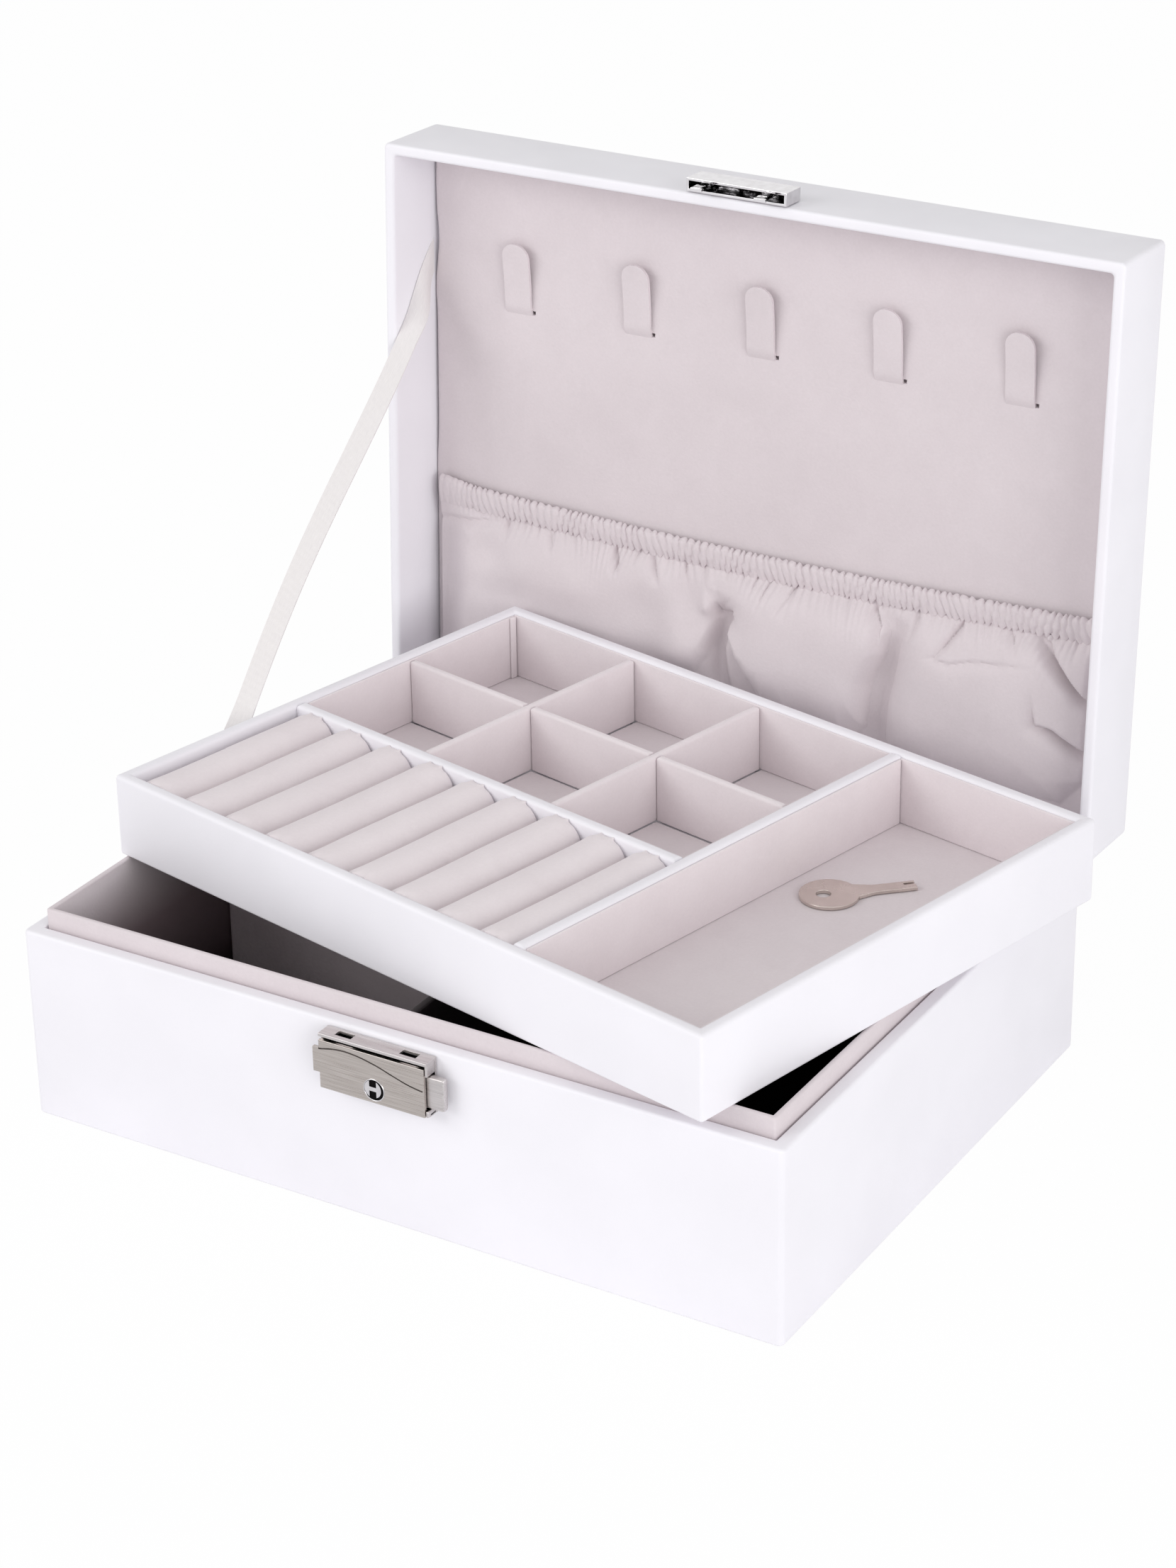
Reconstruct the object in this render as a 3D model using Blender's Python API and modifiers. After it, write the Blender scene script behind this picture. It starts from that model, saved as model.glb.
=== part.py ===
"""Two-layer jewelry box: a leather-covered base with a hinged lid and a loose tray.

The box stands open. The lid leans back on its ribbon stay, and the tray lies askew
across the rim of the base, as when it has just been lifted out of its seat.
Metres, +Z up. The origin is the middle of the underside, +X is the right-hand side
seen from the lock, and -Y is the front, where the lock is.
"""

import math

import bmesh
import bpy
from mathutils import Euler, Vector

# Overall sizes
BOX_WIDTH = 0.235
BOX_DEPTH = 0.175
BASE_HEIGHT = 0.0575
LID_NARROWER = 0.0015
LID_HEIGHT = 0.0275
LID_OPEN_ANGLE = math.radians(92.4)

# Clearances: between glued pieces, between the closed lid and the base, and of cuts
GLUE_GAP = 0.0003
LID_SEAM = 0.0006
OVERRUN = 0.001

# Boards
BASE_WALL = 0.0042
LID_WALL = 0.0034
BOTTOM_BOARD = 0.0037
LID_TOP_BOARD = 0.0037
BOARD_EDGE = 0.0008
LINING_EDGE = 0.0005
EDGE_LIMIT_share = 0.33
SHARP_ANGLE = math.radians(40)

# Liner of the base, whose rim stands above the ledge and locates the lid
LEDGE = 0.0048
LINER_THICKNESS = 0.0015
LINER_LIP = 0.0056
FLOOR_PAD = 0.0013

# Partitions under the tray, which is level with the liner's rim when it is seated
PARTITION_THICKNESS = 0.003
LONG_PARTITION_Y = -0.002
FRONT_LEFT_COMPARTMENT = 0.0907

# Spine hinge: one strip of leather on the backs of the base and the lid. It bends
# behind the base and a little below its rim, so the opened lid sinks behind the base
HINGE_SETBACK = 0.001
HINGE_DROP = 0.0043
SPINE_THICKNESS = 0.001
SPINE_HEIGHT = 0.018
SPINE_INSET = 0.002
SPINE_BEND = 0.0013
SPINE_BEND_ROWS = 5

# Lid lining
LINING_DEPTH = 0.021
LINING_PANEL_THICKNESS = LID_HEIGHT - LID_TOP_BOARD - GLUE_GAP - LINING_DEPTH

# Necklace hooks: bent tongues in slits of the lining panel
HOOK_COUNT = 5
HOOK_PITCH = 0.0407
HOOK_MIDDLE_X = -0.0018
HOOK_FOOT_DOWN = 0.0475
HOOK_WIDTH = 0.010
HOOK_RISE = 0.0212
HOOK_LEAN = 0.0032
HOOK_THICKNESS = 0.001
HOOK_FOOT_DEPTH = 0.0018
HOOK_STRAIGHT_ROWS = 4
HOOK_ROUND_ROWS = 6
HOOK_ROWS = 1 + HOOK_STRAIGHT_ROWS + HOOK_ROUND_ROWS
HOOK_COLUMNS = 2
HOOK_TIP_TURN = math.radians(78)
SLIT_HEIGHT = 0.0019
SLIT_FLOOR = 0.0004

# Pocket: a hanging cloth gathered on an elastic hem
POCKET_SIDE_GAP = 0.003
POCKET_FOOT_UP = 0.0045
POCKET_TOP_UP = 0.0592
POCKET_CLOTH = 0.0008
POCKET_EDGE_STANDOFF = 0.0012
POCKET_BULGE = 0.0016
POCKET_COLUMNS = 44
POCKET_ROWS = 11
POCKET_SIDE_share = 0.05
POCKET_ROUNDING = 0.6
HEM_HEIGHT = 0.0068
HEM_THICKNESS = 0.0018
HEM_STANDOFF = 0.0006
HEM_SAG = 0.0024
HEM_COLUMNS = 40

# Main folds of the pocket, each as the share of the width where it stands, the share
# of the height where it is strongest, its spread across and along, and its height
FOLD_HEIGHT = 0.0052
FOLD_shares = (
    (0.335, 0.62, 0.060, 0.50, 0.70),
    (0.470, 0.42, 0.055, 0.42, 0.95),
    (0.505, 0.78, 0.022, 0.20, 0.80),
    (0.590, 0.40, 0.050, 0.45, 1.00),
    (0.700, 0.36, 0.024, 0.55, -0.55),
    (0.775, 0.45, 0.050, 0.45, 1.00),
    (0.900, 0.34, 0.060, 0.40, 0.85),
)

# Ribbon stay on the left side
RIBBON_WIDTH = 0.007
RIBBON_THICKNESS = 0.0004
RIBBON_LID_UP = 0.137
RIBBON_BASE_Y = -0.0225
RIBBON_BASE_DROP = 0.006
RIBBON_SIDE_GAP = 0.0005
RIBBON_FOOT_INSET = 0.0026
RIBBON_HEAD_INSET = 0.0036
RIBBON_ROWS = 32
RIBBON_FOOT_TWIST_share = 0.24
RIBBON_HEAD_TWIST_share = 0.14

# Lock on the front of the base
LOCK_WIDTH = 0.0335
LOCK_HEIGHT = 0.0162
LOCK_TOP_DROP = 0.0015
LOCK_PROUD = 0.0052
LOCK_WALL = 0.0009
LOCK_PLATE = 0.001
LOCK_LIP = 0.0009
LOCK_PLATE_GAP = 0.001
LATCH_LINE = 0.0025
LOCK_TAB_WIDTH = 0.002
LOCK_TAB_LOW_share = 0.28
LOCK_TAB_HIGH_share = 0.73
PRONG_SPACING = 0.020
PRONG_WIDTH = 0.0036
PRONG_THICKNESS = 0.001
PRONG_LENGTH = 0.005
PRONG_NOSE = 0.0009
SLOT_CLEARANCE = 0.0007
KEYHOLE_RADIUS = 0.0027
KEYHOLE_UP_share = 0.26
PLUG_CLEARANCE = 0.0003
PLUG_FLANGE_RADIUS = 0.003
PLUG_RECESS = 0.0003
PLUG_SEGMENTS = 24
KEYWAY_WIDTH = 0.0022
KEYWAY_HEIGHT = 0.005
KEYWAY_BRIDGE = 0.0014
KEYWAY_DEPTH = 0.0016
BUTTON_PROUD = 0.0043
BUTTON_TRAVEL = 0.0025
BUTTON_CLEARANCE = 0.0003
BUTTON_UP = 0.0022
BUTTON_HEIGHT = 0.0096
BUTTON_INSIDE = 0.0078
BUTTON_ARM_LENGTH = 0.0125
BUTTON_ARM_HEIGHT = 0.003
SPRING_RADIUS = 0.0009
SPRING_WIRE = 0.00022
SPRING_TURNS = 8
SPRING_TURN_POINTS = 10

# Strike on the front wall of the lid
STRIKE_WIDTH = 0.0316
STRIKE_PROUD = 0.0042
STRIKE_DEPTH = 0.0082
STRIKE_WALL = 0.0008

# Tray: its seat is level with the liner's rim. It lies askew across that rim, its left
# wall just inside the foot of the ribbon stay
TRAY_CLEARANCE = 0.002
TRAY_HEIGHT = 0.0245
TRAY_WALL = 0.0038
TRAY_BOTTOM = 0.0022
TRAY_LINING = 0.001
TRAY_TURN = math.radians(-12.6)
TRAY_RIBBON_GAP = 0.002
TRAY_SHIFT_Y = 0.0068

# Dividers of the tray
MAIN_DIVIDER = 0.0036
SMALL_DIVIDER = 0.0024
SMALL_DIVIDER_DROP = 0.0012
LONG_COMPARTMENT = 0.0604
RING_SECTION_DEPTH = 0.061
FRONT_ROW_DEPTH = 0.041
COLUMN_COUNT = 3

# Ring rolls
ROLL_COUNT = 9
ROLL_CROWN_DROP = 0.0028
ROLL_CROWN_RISE = 0.0066
ROLL_ARC_POINTS = 12

# Key, lying in the long compartment
KEY_BOW_RADIUS = 0.0083
KEY_LENGTH = 0.0325
KEY_THICKNESS = 0.001
KEY_NECK_WIDTH = 0.0072
KEY_TIP_WIDTH = 0.0042
KEY_NECK_LENGTH = 0.0125
KEY_HOLE_RADIUS = 0.0021
KEY_HOLE_OFFSET = 0.0016
KEY_FORK_DEPTH = 0.0032
KEY_FORK_WIDTH = 0.0012
KEY_FORK_OFFSET = 0.0007
KEY_ARC_POINTS = 22
KEY_HOLE_POINTS = 14
KEY_TURN = math.radians(55)
KEY_FROM_DIVIDER = 0.0145
KEY_FROM_BACK = 0.0479

# Levels and lines worked out from the sizes above
HALF_WIDTH = BOX_WIDTH / 2
HALF_DEPTH = BOX_DEPTH / 2
LID_WIDTH = BOX_WIDTH - LID_NARROWER
LINER_BOTTOM = BOTTOM_BOARD + GLUE_GAP
LINER_TOP = BASE_HEIGHT + LINER_LIP
LINER_INNER_X = HALF_WIDTH - LEDGE - LINER_THICKNESS
LINER_INNER_Y = HALF_DEPTH - LEDGE - LINER_THICKNESS
FLOOR_TOP = LINER_BOTTOM + FLOOR_PAD
PARTITION_BOTTOM = FLOOR_TOP + GLUE_GAP
PARTITION_TOP = LINER_TOP - TRAY_HEIGHT - GLUE_GAP
SHORT_PARTITION_X = -LINER_INNER_X + FRONT_LEFT_COMPARTMENT + PARTITION_THICKNESS / 2
HINGE_Y = HALF_DEPTH + HINGE_SETBACK
HINGE_Z = BASE_HEIGHT - HINGE_DROP
LID_HALF_WIDTH = LID_WIDTH / 2
PANEL_HALF_WIDTH = LID_HALF_WIDTH - LID_WALL - GLUE_GAP
PANEL_FOOT = LID_WALL + GLUE_GAP
PANEL_HEAD = BOX_DEPTH - LID_WALL - GLUE_GAP
HOOK_FOOT_UP = PANEL_HEAD - HOOK_FOOT_DOWN
LOCK_TOP = BASE_HEIGHT - LOCK_TOP_DROP
LOCK_BOTTOM = LOCK_TOP - LOCK_HEIGHT
LOCK_BACK_Y = -HALF_DEPTH - GLUE_GAP
LOCK_FRONT_Y = -HALF_DEPTH - LOCK_PROUD
LOCK_PLATE_BACK_Y = LOCK_FRONT_Y + LOCK_PLATE
LOCK_CAVITY_FRONT_Y = LOCK_PLATE_BACK_Y + GLUE_GAP
LOCK_CAVITY_BACK_Y = LOCK_BACK_Y - LOCK_WALL
KEYHOLE_Z = LOCK_BOTTOM + KEYHOLE_UP_share * LOCK_HEIGHT
TRAY_WIDTH = 2 * (LINER_INNER_X - TRAY_CLEARANCE)
TRAY_DEPTH = 2 * (LINER_INNER_Y - TRAY_CLEARANCE)
TRAY_REST_Z = LINER_TOP + GLUE_GAP
TRAY_LEFT_REACH = TRAY_WIDTH / 2 / math.cos(TRAY_TURN)
TRAY_LEFT_SLANT = (RIBBON_BASE_Y - TRAY_SHIFT_Y) * math.tan(TRAY_TURN)
TRAY_SHIFT_X = TRAY_RIBBON_GAP - LINER_INNER_X + TRAY_LEFT_REACH + TRAY_LEFT_SLANT
TRAY_INNER_X = TRAY_WIDTH / 2 - TRAY_WALL
TRAY_INNER_Y = TRAY_DEPTH / 2 - TRAY_WALL
TRAY_FLOOR = TRAY_BOTTOM + GLUE_GAP + TRAY_LINING
DIVIDER_BOTTOM = TRAY_FLOOR + GLUE_GAP
LONG_DIVIDER_X = TRAY_INNER_X - LONG_COMPARTMENT - MAIN_DIVIDER / 2
RING_DIVIDER_Y = -TRAY_INNER_Y + RING_SECTION_DEPTH + MAIN_DIVIDER / 2
ROW_DIVIDER_Y = RING_DIVIDER_Y + MAIN_DIVIDER / 2 + FRONT_ROW_DEPTH + SMALL_DIVIDER / 2
CELLS_RIGHT_X = LONG_DIVIDER_X - MAIN_DIVIDER / 2
CELLS_FRONT_Y = RING_DIVIDER_Y + MAIN_DIVIDER / 2
CELLS_WIDTH = CELLS_RIGHT_X + TRAY_INNER_X
SMALL_DIVIDER_TOP = TRAY_HEIGHT - SMALL_DIVIDER_DROP
SMALL_DIVIDER_MIDDLE = (DIVIDER_BOTTOM + SMALL_DIVIDER_TOP) / 2


def clear_scene():
    """Remove whatever the scene holds."""
    for old in list(bpy.data.objects):
        bpy.data.objects.remove(old)


def new_collection(name):
    """A collection of the scene."""
    collection = bpy.data.collections.new(name)
    bpy.context.scene.collection.children.link(collection)
    return collection


def finish_of(name, colour, roughness, metallic=0.0):
    """A Principled material."""
    material = bpy.data.materials.new(name)
    material.use_nodes = True
    shader = material.node_tree.nodes["Principled BSDF"]
    shader.inputs["Base Color"].default_value = (*colour, 1.0)
    shader.inputs["Roughness"].default_value = roughness
    shader.inputs["Metallic"].default_value = metallic
    material.diffuse_color = (*colour, 1.0)
    return material


clear_scene()
BOX = new_collection("jewelry_box")
CUTTERS = new_collection("cutters")
LEATHER = finish_of("white leather", (0.90, 0.88, 0.94), 0.45)
SUEDE = finish_of("grey suede", (0.68, 0.62, 0.63), 0.9)
SATIN = finish_of("white satin", (0.86, 0.86, 0.86), 0.5)
BRUSHED = finish_of("brushed steel", (0.50, 0.46, 0.43), 0.35, 1.0)
CHROME = finish_of("chrome", (0.75, 0.75, 0.75), 0.1, 1.0)
NICKEL = finish_of("nickel", (0.42, 0.37, 0.34), 0.3, 1.0)


def frame_at(name, place, turn=(0.0, 0.0, 0.0)):
    """An empty that carries a moving body's pieces."""
    frame = bpy.data.objects.new(name, None)
    frame.location = place
    frame.rotation_euler = Euler(turn)
    BOX.objects.link(frame)
    return frame


def add_object(name, data, finish, parent=None, collection=BOX):
    """An object with its finish, under its body's empty."""
    piece = bpy.data.objects.new(name, data)
    data.materials.append(finish)
    piece.parent = parent
    collection.objects.link(piece)
    return piece


def cube_mesh(name, size):
    """The mesh of a box about its own middle."""
    mesh = bpy.data.meshes.new(name)
    shape = bmesh.new()
    bmesh.ops.create_cube(shape, size=1.0)
    bmesh.ops.scale(shape, vec=size, verts=shape.verts)
    shape.to_mesh(mesh)
    shape.free()
    return mesh


def soften(piece, width, thinnest):
    """Rounded edges, limited to a share of the thinnest side."""
    bevel = piece.modifiers.new("soft edges", "BEVEL")
    bevel.width = min(width, thinnest * EDGE_LIMIT_share)
    bevel.segments = 2
    bevel.limit_method = "ANGLE"


def board(name, low, high, finish, parent=None, edge=BOARD_EDGE):
    """A board between two corners, with softened edges unless edge is zero."""
    low, high = Vector(low), Vector(high)
    piece = add_object(name, cube_mesh(name, high - low), finish, parent)
    piece.location = (low + high) / 2
    if edge:
        soften(piece, edge, min(high - low))
    return piece


def cutter(name, low, high, parent=None):
    """A box that only takes part in Booleans."""
    low, high = Vector(low), Vector(high)
    tool = bpy.data.objects.new(name, cube_mesh(name, high - low))
    tool.location = (low + high) / 2
    tool.parent = parent
    hide_tool(tool)
    return tool


def hide_tool(tool):
    """Keep a helper out of the model."""
    tool.hide_render = True
    tool.display_type = "WIRE"
    CUTTERS.objects.link(tool)


def combine(piece, tool, operation="DIFFERENCE"):
    """Cut a helper out of a piece, or join it on."""
    step = piece.modifiers.new(operation.lower(), "BOOLEAN")
    step.operation = operation
    step.object = tool


def four_walls(names, outer, inner, low, high, finish, parent, edge=BOARD_EDGE):
    """Walls between an outer and an inner rectangle: front and back run full width."""
    (out_x, out_y), (in_x, in_y) = outer, inner
    front, back, left, right = names
    board(front, (-out_x, -out_y, low), (out_x, -in_y, high), finish, parent, edge)
    board(back, (-out_x, in_y, low), (out_x, out_y, high), finish, parent, edge)
    side_y = in_y - GLUE_GAP
    board(left, (-out_x, -side_y, low), (-in_x, side_y, high), finish, parent, edge)
    board(right, (in_x, -side_y, low), (out_x, side_y, high), finish, parent, edge)


def smooth_mesh(name, shape):
    """The finished mesh of a shape, shaded smooth between its sharp edges."""
    mesh = bpy.data.meshes.new(name)
    shape.to_mesh(mesh)
    shape.free()
    mesh.shade_smooth()
    mesh.set_sharp_from_angle(angle=SHARP_ANGLE)
    return mesh


def grid_mesh(name, columns, rows, place):
    """A sheet of quads whose points are place(u, v), with u and v from 0 to 1."""
    shape = bmesh.new()
    bmesh.ops.create_grid(shape, x_segments=columns, y_segments=rows, size=0.5)
    for point in shape.verts:
        point.co = place(point.co.x + 0.5, point.co.y + 0.5)
    return smooth_mesh(name, shape)


def thicken(piece, thickness):
    """Give a sheet its thickness, equally to both sides."""
    solid = piece.modifiers.new("thickness", "SOLIDIFY")
    solid.thickness = thickness
    solid.offset = 0.0
    solid.use_even_offset = True


def flat_outline(name, outlines, thickness, finish, parent=None):
    """A plate cut to flat outlines, the first outside and the others holes."""
    curve = bpy.data.curves.new(name, "CURVE")
    curve.dimensions = "2D"
    curve.fill_mode = "BOTH"
    curve.extrude = thickness / 2
    for outline in outlines:
        spline = curve.splines.new("POLY")
        spline.points.add(len(outline) - 1)
        for point, (x, y) in zip(spline.points, outline):
            point.co = (x, y, 0.0, 1.0)
        spline.use_cyclic_u = True
    return add_object(name, curve, finish, parent)


def arc(centre, radius, start, stop, count):
    """Points along an arc, both ends included."""
    turn = (stop - start) / (count - 1)
    return [
        (
            centre[0] + radius * math.cos(start + turn * step),
            centre[1] + radius * math.sin(start + turn * step),
        )
        for step in range(count)
    ]


def bump(distance, spread):
    """A smooth hump, 1 in the middle and near 0 two spreads away."""
    return math.exp(-((distance / spread) ** 2))


def make_base():
    """Boards of the base, its liner, floor pad and partitions."""
    outer = (HALF_WIDTH, HALF_DEPTH)
    inner = (HALF_WIDTH - BASE_WALL, HALF_DEPTH - BASE_WALL)
    names = ("base_front_wall", "base_back_wall", "base_left_wall", "base_right_wall")
    four_walls(names, outer, inner, 0.0, BASE_HEIGHT, LEATHER, None)
    floor_x, floor_y = inner[0] - GLUE_GAP, inner[1] - GLUE_GAP
    board("base_bottom_board", (-floor_x, -floor_y, 0.0), (floor_x, floor_y, BOTTOM_BOARD), LEATHER)
    liner_outer = (HALF_WIDTH - LEDGE, HALF_DEPTH - LEDGE)
    liner_inner = (LINER_INNER_X, LINER_INNER_Y)
    names = ("liner_front", "liner_back", "liner_left", "liner_right")
    four_walls(names, liner_outer, liner_inner, LINER_BOTTOM, LINER_TOP, SUEDE, None)
    pad_x, pad_y = LINER_INNER_X - GLUE_GAP, LINER_INNER_Y - GLUE_GAP
    board("base_floor_pad", (-pad_x, -pad_y, LINER_BOTTOM), (pad_x, pad_y, FLOOR_TOP), SUEDE,
          edge=LINING_EDGE)
    half = PARTITION_THICKNESS / 2
    board(
        "long_partition",
        (-pad_x, LONG_PARTITION_Y - half, PARTITION_BOTTOM),
        (pad_x, LONG_PARTITION_Y + half, PARTITION_TOP),
        SUEDE,
    )
    board(
        "short_partition",
        (SHORT_PARTITION_X - half, -pad_y, PARTITION_BOTTOM),
        (SHORT_PARTITION_X + half, LONG_PARTITION_Y - half - GLUE_GAP, PARTITION_TOP),
        SUEDE,
    )


def lid_point(x, up, depth):
    """A place in the lid: up from its hinge edge, and depth from its rim inwards."""
    return Vector((x, HALF_DEPTH - HINGE_Y - up, BASE_HEIGHT - HINGE_Z + LID_SEAM + depth))


def lid_board(name, low, high, finish, parent, edge=BOARD_EDGE):
    """A board of the lid between two corners given as x, up and depth."""
    (x0, up0, depth0), (x1, up1, depth1) = low, high
    return board(
        name, lid_point(x0, up1, depth0), lid_point(x1, up0, depth1), finish, parent, edge
    )


def make_lid(lid):
    """Boards and lining panel of the lid."""
    wall_top = LID_HEIGHT - LID_TOP_BOARD - GLUE_GAP
    half, side = LID_HALF_WIDTH, LID_HALF_WIDTH - LID_WALL
    front_low, back_high = BOX_DEPTH - LID_WALL, LID_WALL
    side_low, side_high = back_high + GLUE_GAP, front_low - GLUE_GAP
    for name, low, high in (
        ("lid_top_board", (-half, 0.0, LID_HEIGHT - LID_TOP_BOARD), (half, BOX_DEPTH, LID_HEIGHT)),
        ("lid_front_wall", (-half, front_low, 0.0), (half, BOX_DEPTH, wall_top)),
        ("lid_back_wall", (-half, 0.0, 0.0), (half, back_high, wall_top)),
        ("lid_left_wall", (-half, side_low, 0.0), (-side, side_high, wall_top)),
        ("lid_right_wall", (side, side_low, 0.0), (half, side_high, wall_top)),
    ):
        lid_board(name, low, high, LEATHER, lid)
    panel = lid_board(
        "lid_lining_panel",
        (-PANEL_HALF_WIDTH, PANEL_FOOT, LINING_DEPTH),
        (PANEL_HALF_WIDTH, PANEL_HEAD, LINING_DEPTH + LINING_PANEL_THICKNESS),
        SUEDE, lid, LINING_EDGE,
    )
    return panel


def hook_point(across, along):
    """A point of a bent tongue: its foot runs out of the slit, its blade leans away."""
    row = round(along * HOOK_ROWS)
    side = 2.0 * across - 1.0
    if row == 0:
        return Vector((HOOK_WIDTH / 2 * side, 0.0, HOOK_FOOT_DEPTH))
    radius, stand = HOOK_WIDTH / 2, GLUE_GAP + HOOK_THICKNESS / 2
    straight, turn = HOOK_RISE - radius, 0.0
    rise = straight * (row - 1) / HOOK_STRAIGHT_ROWS
    if row > HOOK_STRAIGHT_ROWS:
        turn = HOOK_TIP_TURN * (row - HOOK_STRAIGHT_ROWS - 1) / HOOK_ROUND_ROWS
        rise = straight + radius * math.sin(turn)
    lean = HOOK_LEAN * (rise / HOOK_RISE) ** 2
    return Vector((radius * math.cos(turn) * side, -rise, -stand - lean))


def make_hooks(lid, panel):
    """The necklace hooks and the slits that hold their feet."""
    for number in range(HOOK_COUNT):
        x = HOOK_MIDDLE_X + (number - (HOOK_COUNT - 1) / 2) * HOOK_PITCH
        name = f"necklace_hook_{number + 1}"
        mesh = grid_mesh(name, HOOK_COLUMNS, HOOK_ROWS, hook_point)
        hook = add_object(name, mesh, SUEDE, lid)
        hook.location = lid_point(x, HOOK_FOOT_UP, LINING_DEPTH)
        thicken(hook, HOOK_THICKNESS)
        half_slit = HOOK_WIDTH / 2 + GLUE_GAP
        slit = cutter(
            f"slit_{number + 1}",
            lid_point(x - half_slit, HOOK_FOOT_UP + SLIT_HEIGHT / 2, LINING_DEPTH - OVERRUN),
            lid_point(
                x + half_slit,
                HOOK_FOOT_UP - SLIT_HEIGHT / 2,
                LINING_DEPTH + LINING_PANEL_THICKNESS - SLIT_FLOOR,
            ),
            lid,
        )
        combine(panel, slit)


def hem_up(across):
    """Height of the hem's lower edge: it sags between the ends of its elastic."""
    return POCKET_TOP_UP - HEM_SAG * math.sin(math.pi * across) + HEM_SAG * (1.0 - across) / 2


def pocket_standoff(across, along):
    """How far the cloth stands off the lining: fullness in the middle, and the folds."""
    side = min(1.0, min(across, 1.0 - across) / POCKET_SIDE_share)
    ends = math.sin(math.pi * along) ** POCKET_ROUNDING
    fullness = POCKET_BULGE * side * ends
    folds = 0.0
    for place, height, wide, tall, strength in FOLD_shares:
        lean = (along - height) * wide
        folds += strength * bump(across - place - lean, wide) * bump(along - height, tall)
    return POCKET_EDGE_STANDOFF + fullness + FOLD_HEIGHT * side * ends * max(0.0, folds)


def make_pocket(lid):
    """The gathered cloth of the pocket, and its elastic hem."""
    half = PANEL_HALF_WIDTH - POCKET_SIDE_GAP

    def cloth_point(across, along):
        x = half * (2.0 * across - 1.0)
        top = hem_up(across) - GLUE_GAP - POCKET_CLOTH
        up = POCKET_FOOT_UP + (top - POCKET_FOOT_UP) * along
        return lid_point(x, up, LINING_DEPTH - pocket_standoff(across, along))

    def hem_point(across, along):
        x = half * (2.0 * across - 1.0)
        stand = HEM_STANDOFF + HEM_THICKNESS / 2
        return lid_point(x, hem_up(across) + HEM_HEIGHT * along, LINING_DEPTH - stand)

    mesh = grid_mesh("lid_pocket", POCKET_COLUMNS, POCKET_ROWS, cloth_point)
    thicken(add_object("lid_pocket", mesh, SUEDE, lid), POCKET_CLOTH)
    mesh = grid_mesh("pocket_elastic_hem", HEM_COLUMNS, 1, hem_point)
    thicken(add_object("pocket_elastic_hem", mesh, SUEDE, lid), HEM_THICKNESS)


def make_hinge(lid_world):
    """The spine hinge, open: up the back of the base, then out along the back of the lid."""
    half = LID_HALF_WIDTH - SPINE_INSET
    off = GLUE_GAP + SPINE_THICKNESS / 2
    lid_end = lid_world @ lid_point(0.0, -off, SPINE_HEIGHT)
    lid_start = lid_world @ lid_point(0.0, -off, 0.0)
    along_lid = (lid_start - lid_end).normalized()
    base_y = HALF_DEPTH + off
    corner = lid_start + along_lid * (base_y - lid_start.y) / along_lid.y
    bend_low = corner - Vector((0.0, 0.0, SPINE_BEND))
    bend_high = corner - along_lid * SPINE_BEND
    profile = [Vector((0.0, base_y, BASE_HEIGHT - SPINE_HEIGHT))]
    for row in range(SPINE_BEND_ROWS + 1):
        share = row / SPINE_BEND_ROWS
        profile.append(bend_low.lerp(corner, share).lerp(corner.lerp(bend_high, share), share))
    profile.append(lid_end)
    rows = len(profile) - 1

    def spine_point(across, along):
        return profile[round(along * rows)] + Vector((half * (2.0 * across - 1.0), 0.0, 0.0))

    mesh = grid_mesh("spine_hinge", 1, rows, spine_point)
    thicken(add_object("spine_hinge", mesh, LEATHER), SPINE_THICKNESS)


def make_ribbon(lid_world):
    """The ribbon stay: flat on the lid's side, turned to the front, flat on the liner."""
    lid_side = -(LID_HALF_WIDTH - LID_WALL) + RIBBON_SIDE_GAP
    base_side = -LINER_INNER_X + RIBBON_SIDE_GAP
    head = lid_world @ lid_point(lid_side, RIBBON_LID_UP, LINING_DEPTH - RIBBON_SIDE_GAP)
    foot = Vector((base_side, RIBBON_BASE_Y, LINER_TOP - RIBBON_BASE_DROP))
    across_box = Vector((1.0, 0.0, 0.0))
    run = (head - foot).normalized()
    flat = run.cross(across_box).normalized()
    inwards = lid_world.to_3x3() @ Vector((0.0, 0.0, 1.0))
    slant = -flat.dot(inwards) / run.dot(inwards)

    def ribbon_point(across, along):
        ends = min(
            1.0, along / RIBBON_FOOT_TWIST_share, (1.0 - along) / RIBBON_HEAD_TWIST_share
        )
        turned = ends * ends * (3.0 - 2.0 * ends) * math.pi / 2
        aside = RIBBON_WIDTH * (across - 0.5)
        middle = foot.lerp(head, along) + run * slant * aside * along
        inset = RIBBON_FOOT_INSET + (RIBBON_HEAD_INSET - RIBBON_FOOT_INSET) * along
        middle.x += inset * math.sin(turned)
        return middle + (flat * math.cos(turned) + across_box * math.sin(turned)) * aside

    mesh = grid_mesh("ribbon_stay", 1, RIBBON_ROWS, ribbon_point)
    thicken(add_object("ribbon_stay", mesh, SATIN), RIBBON_THICKNESS)


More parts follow.
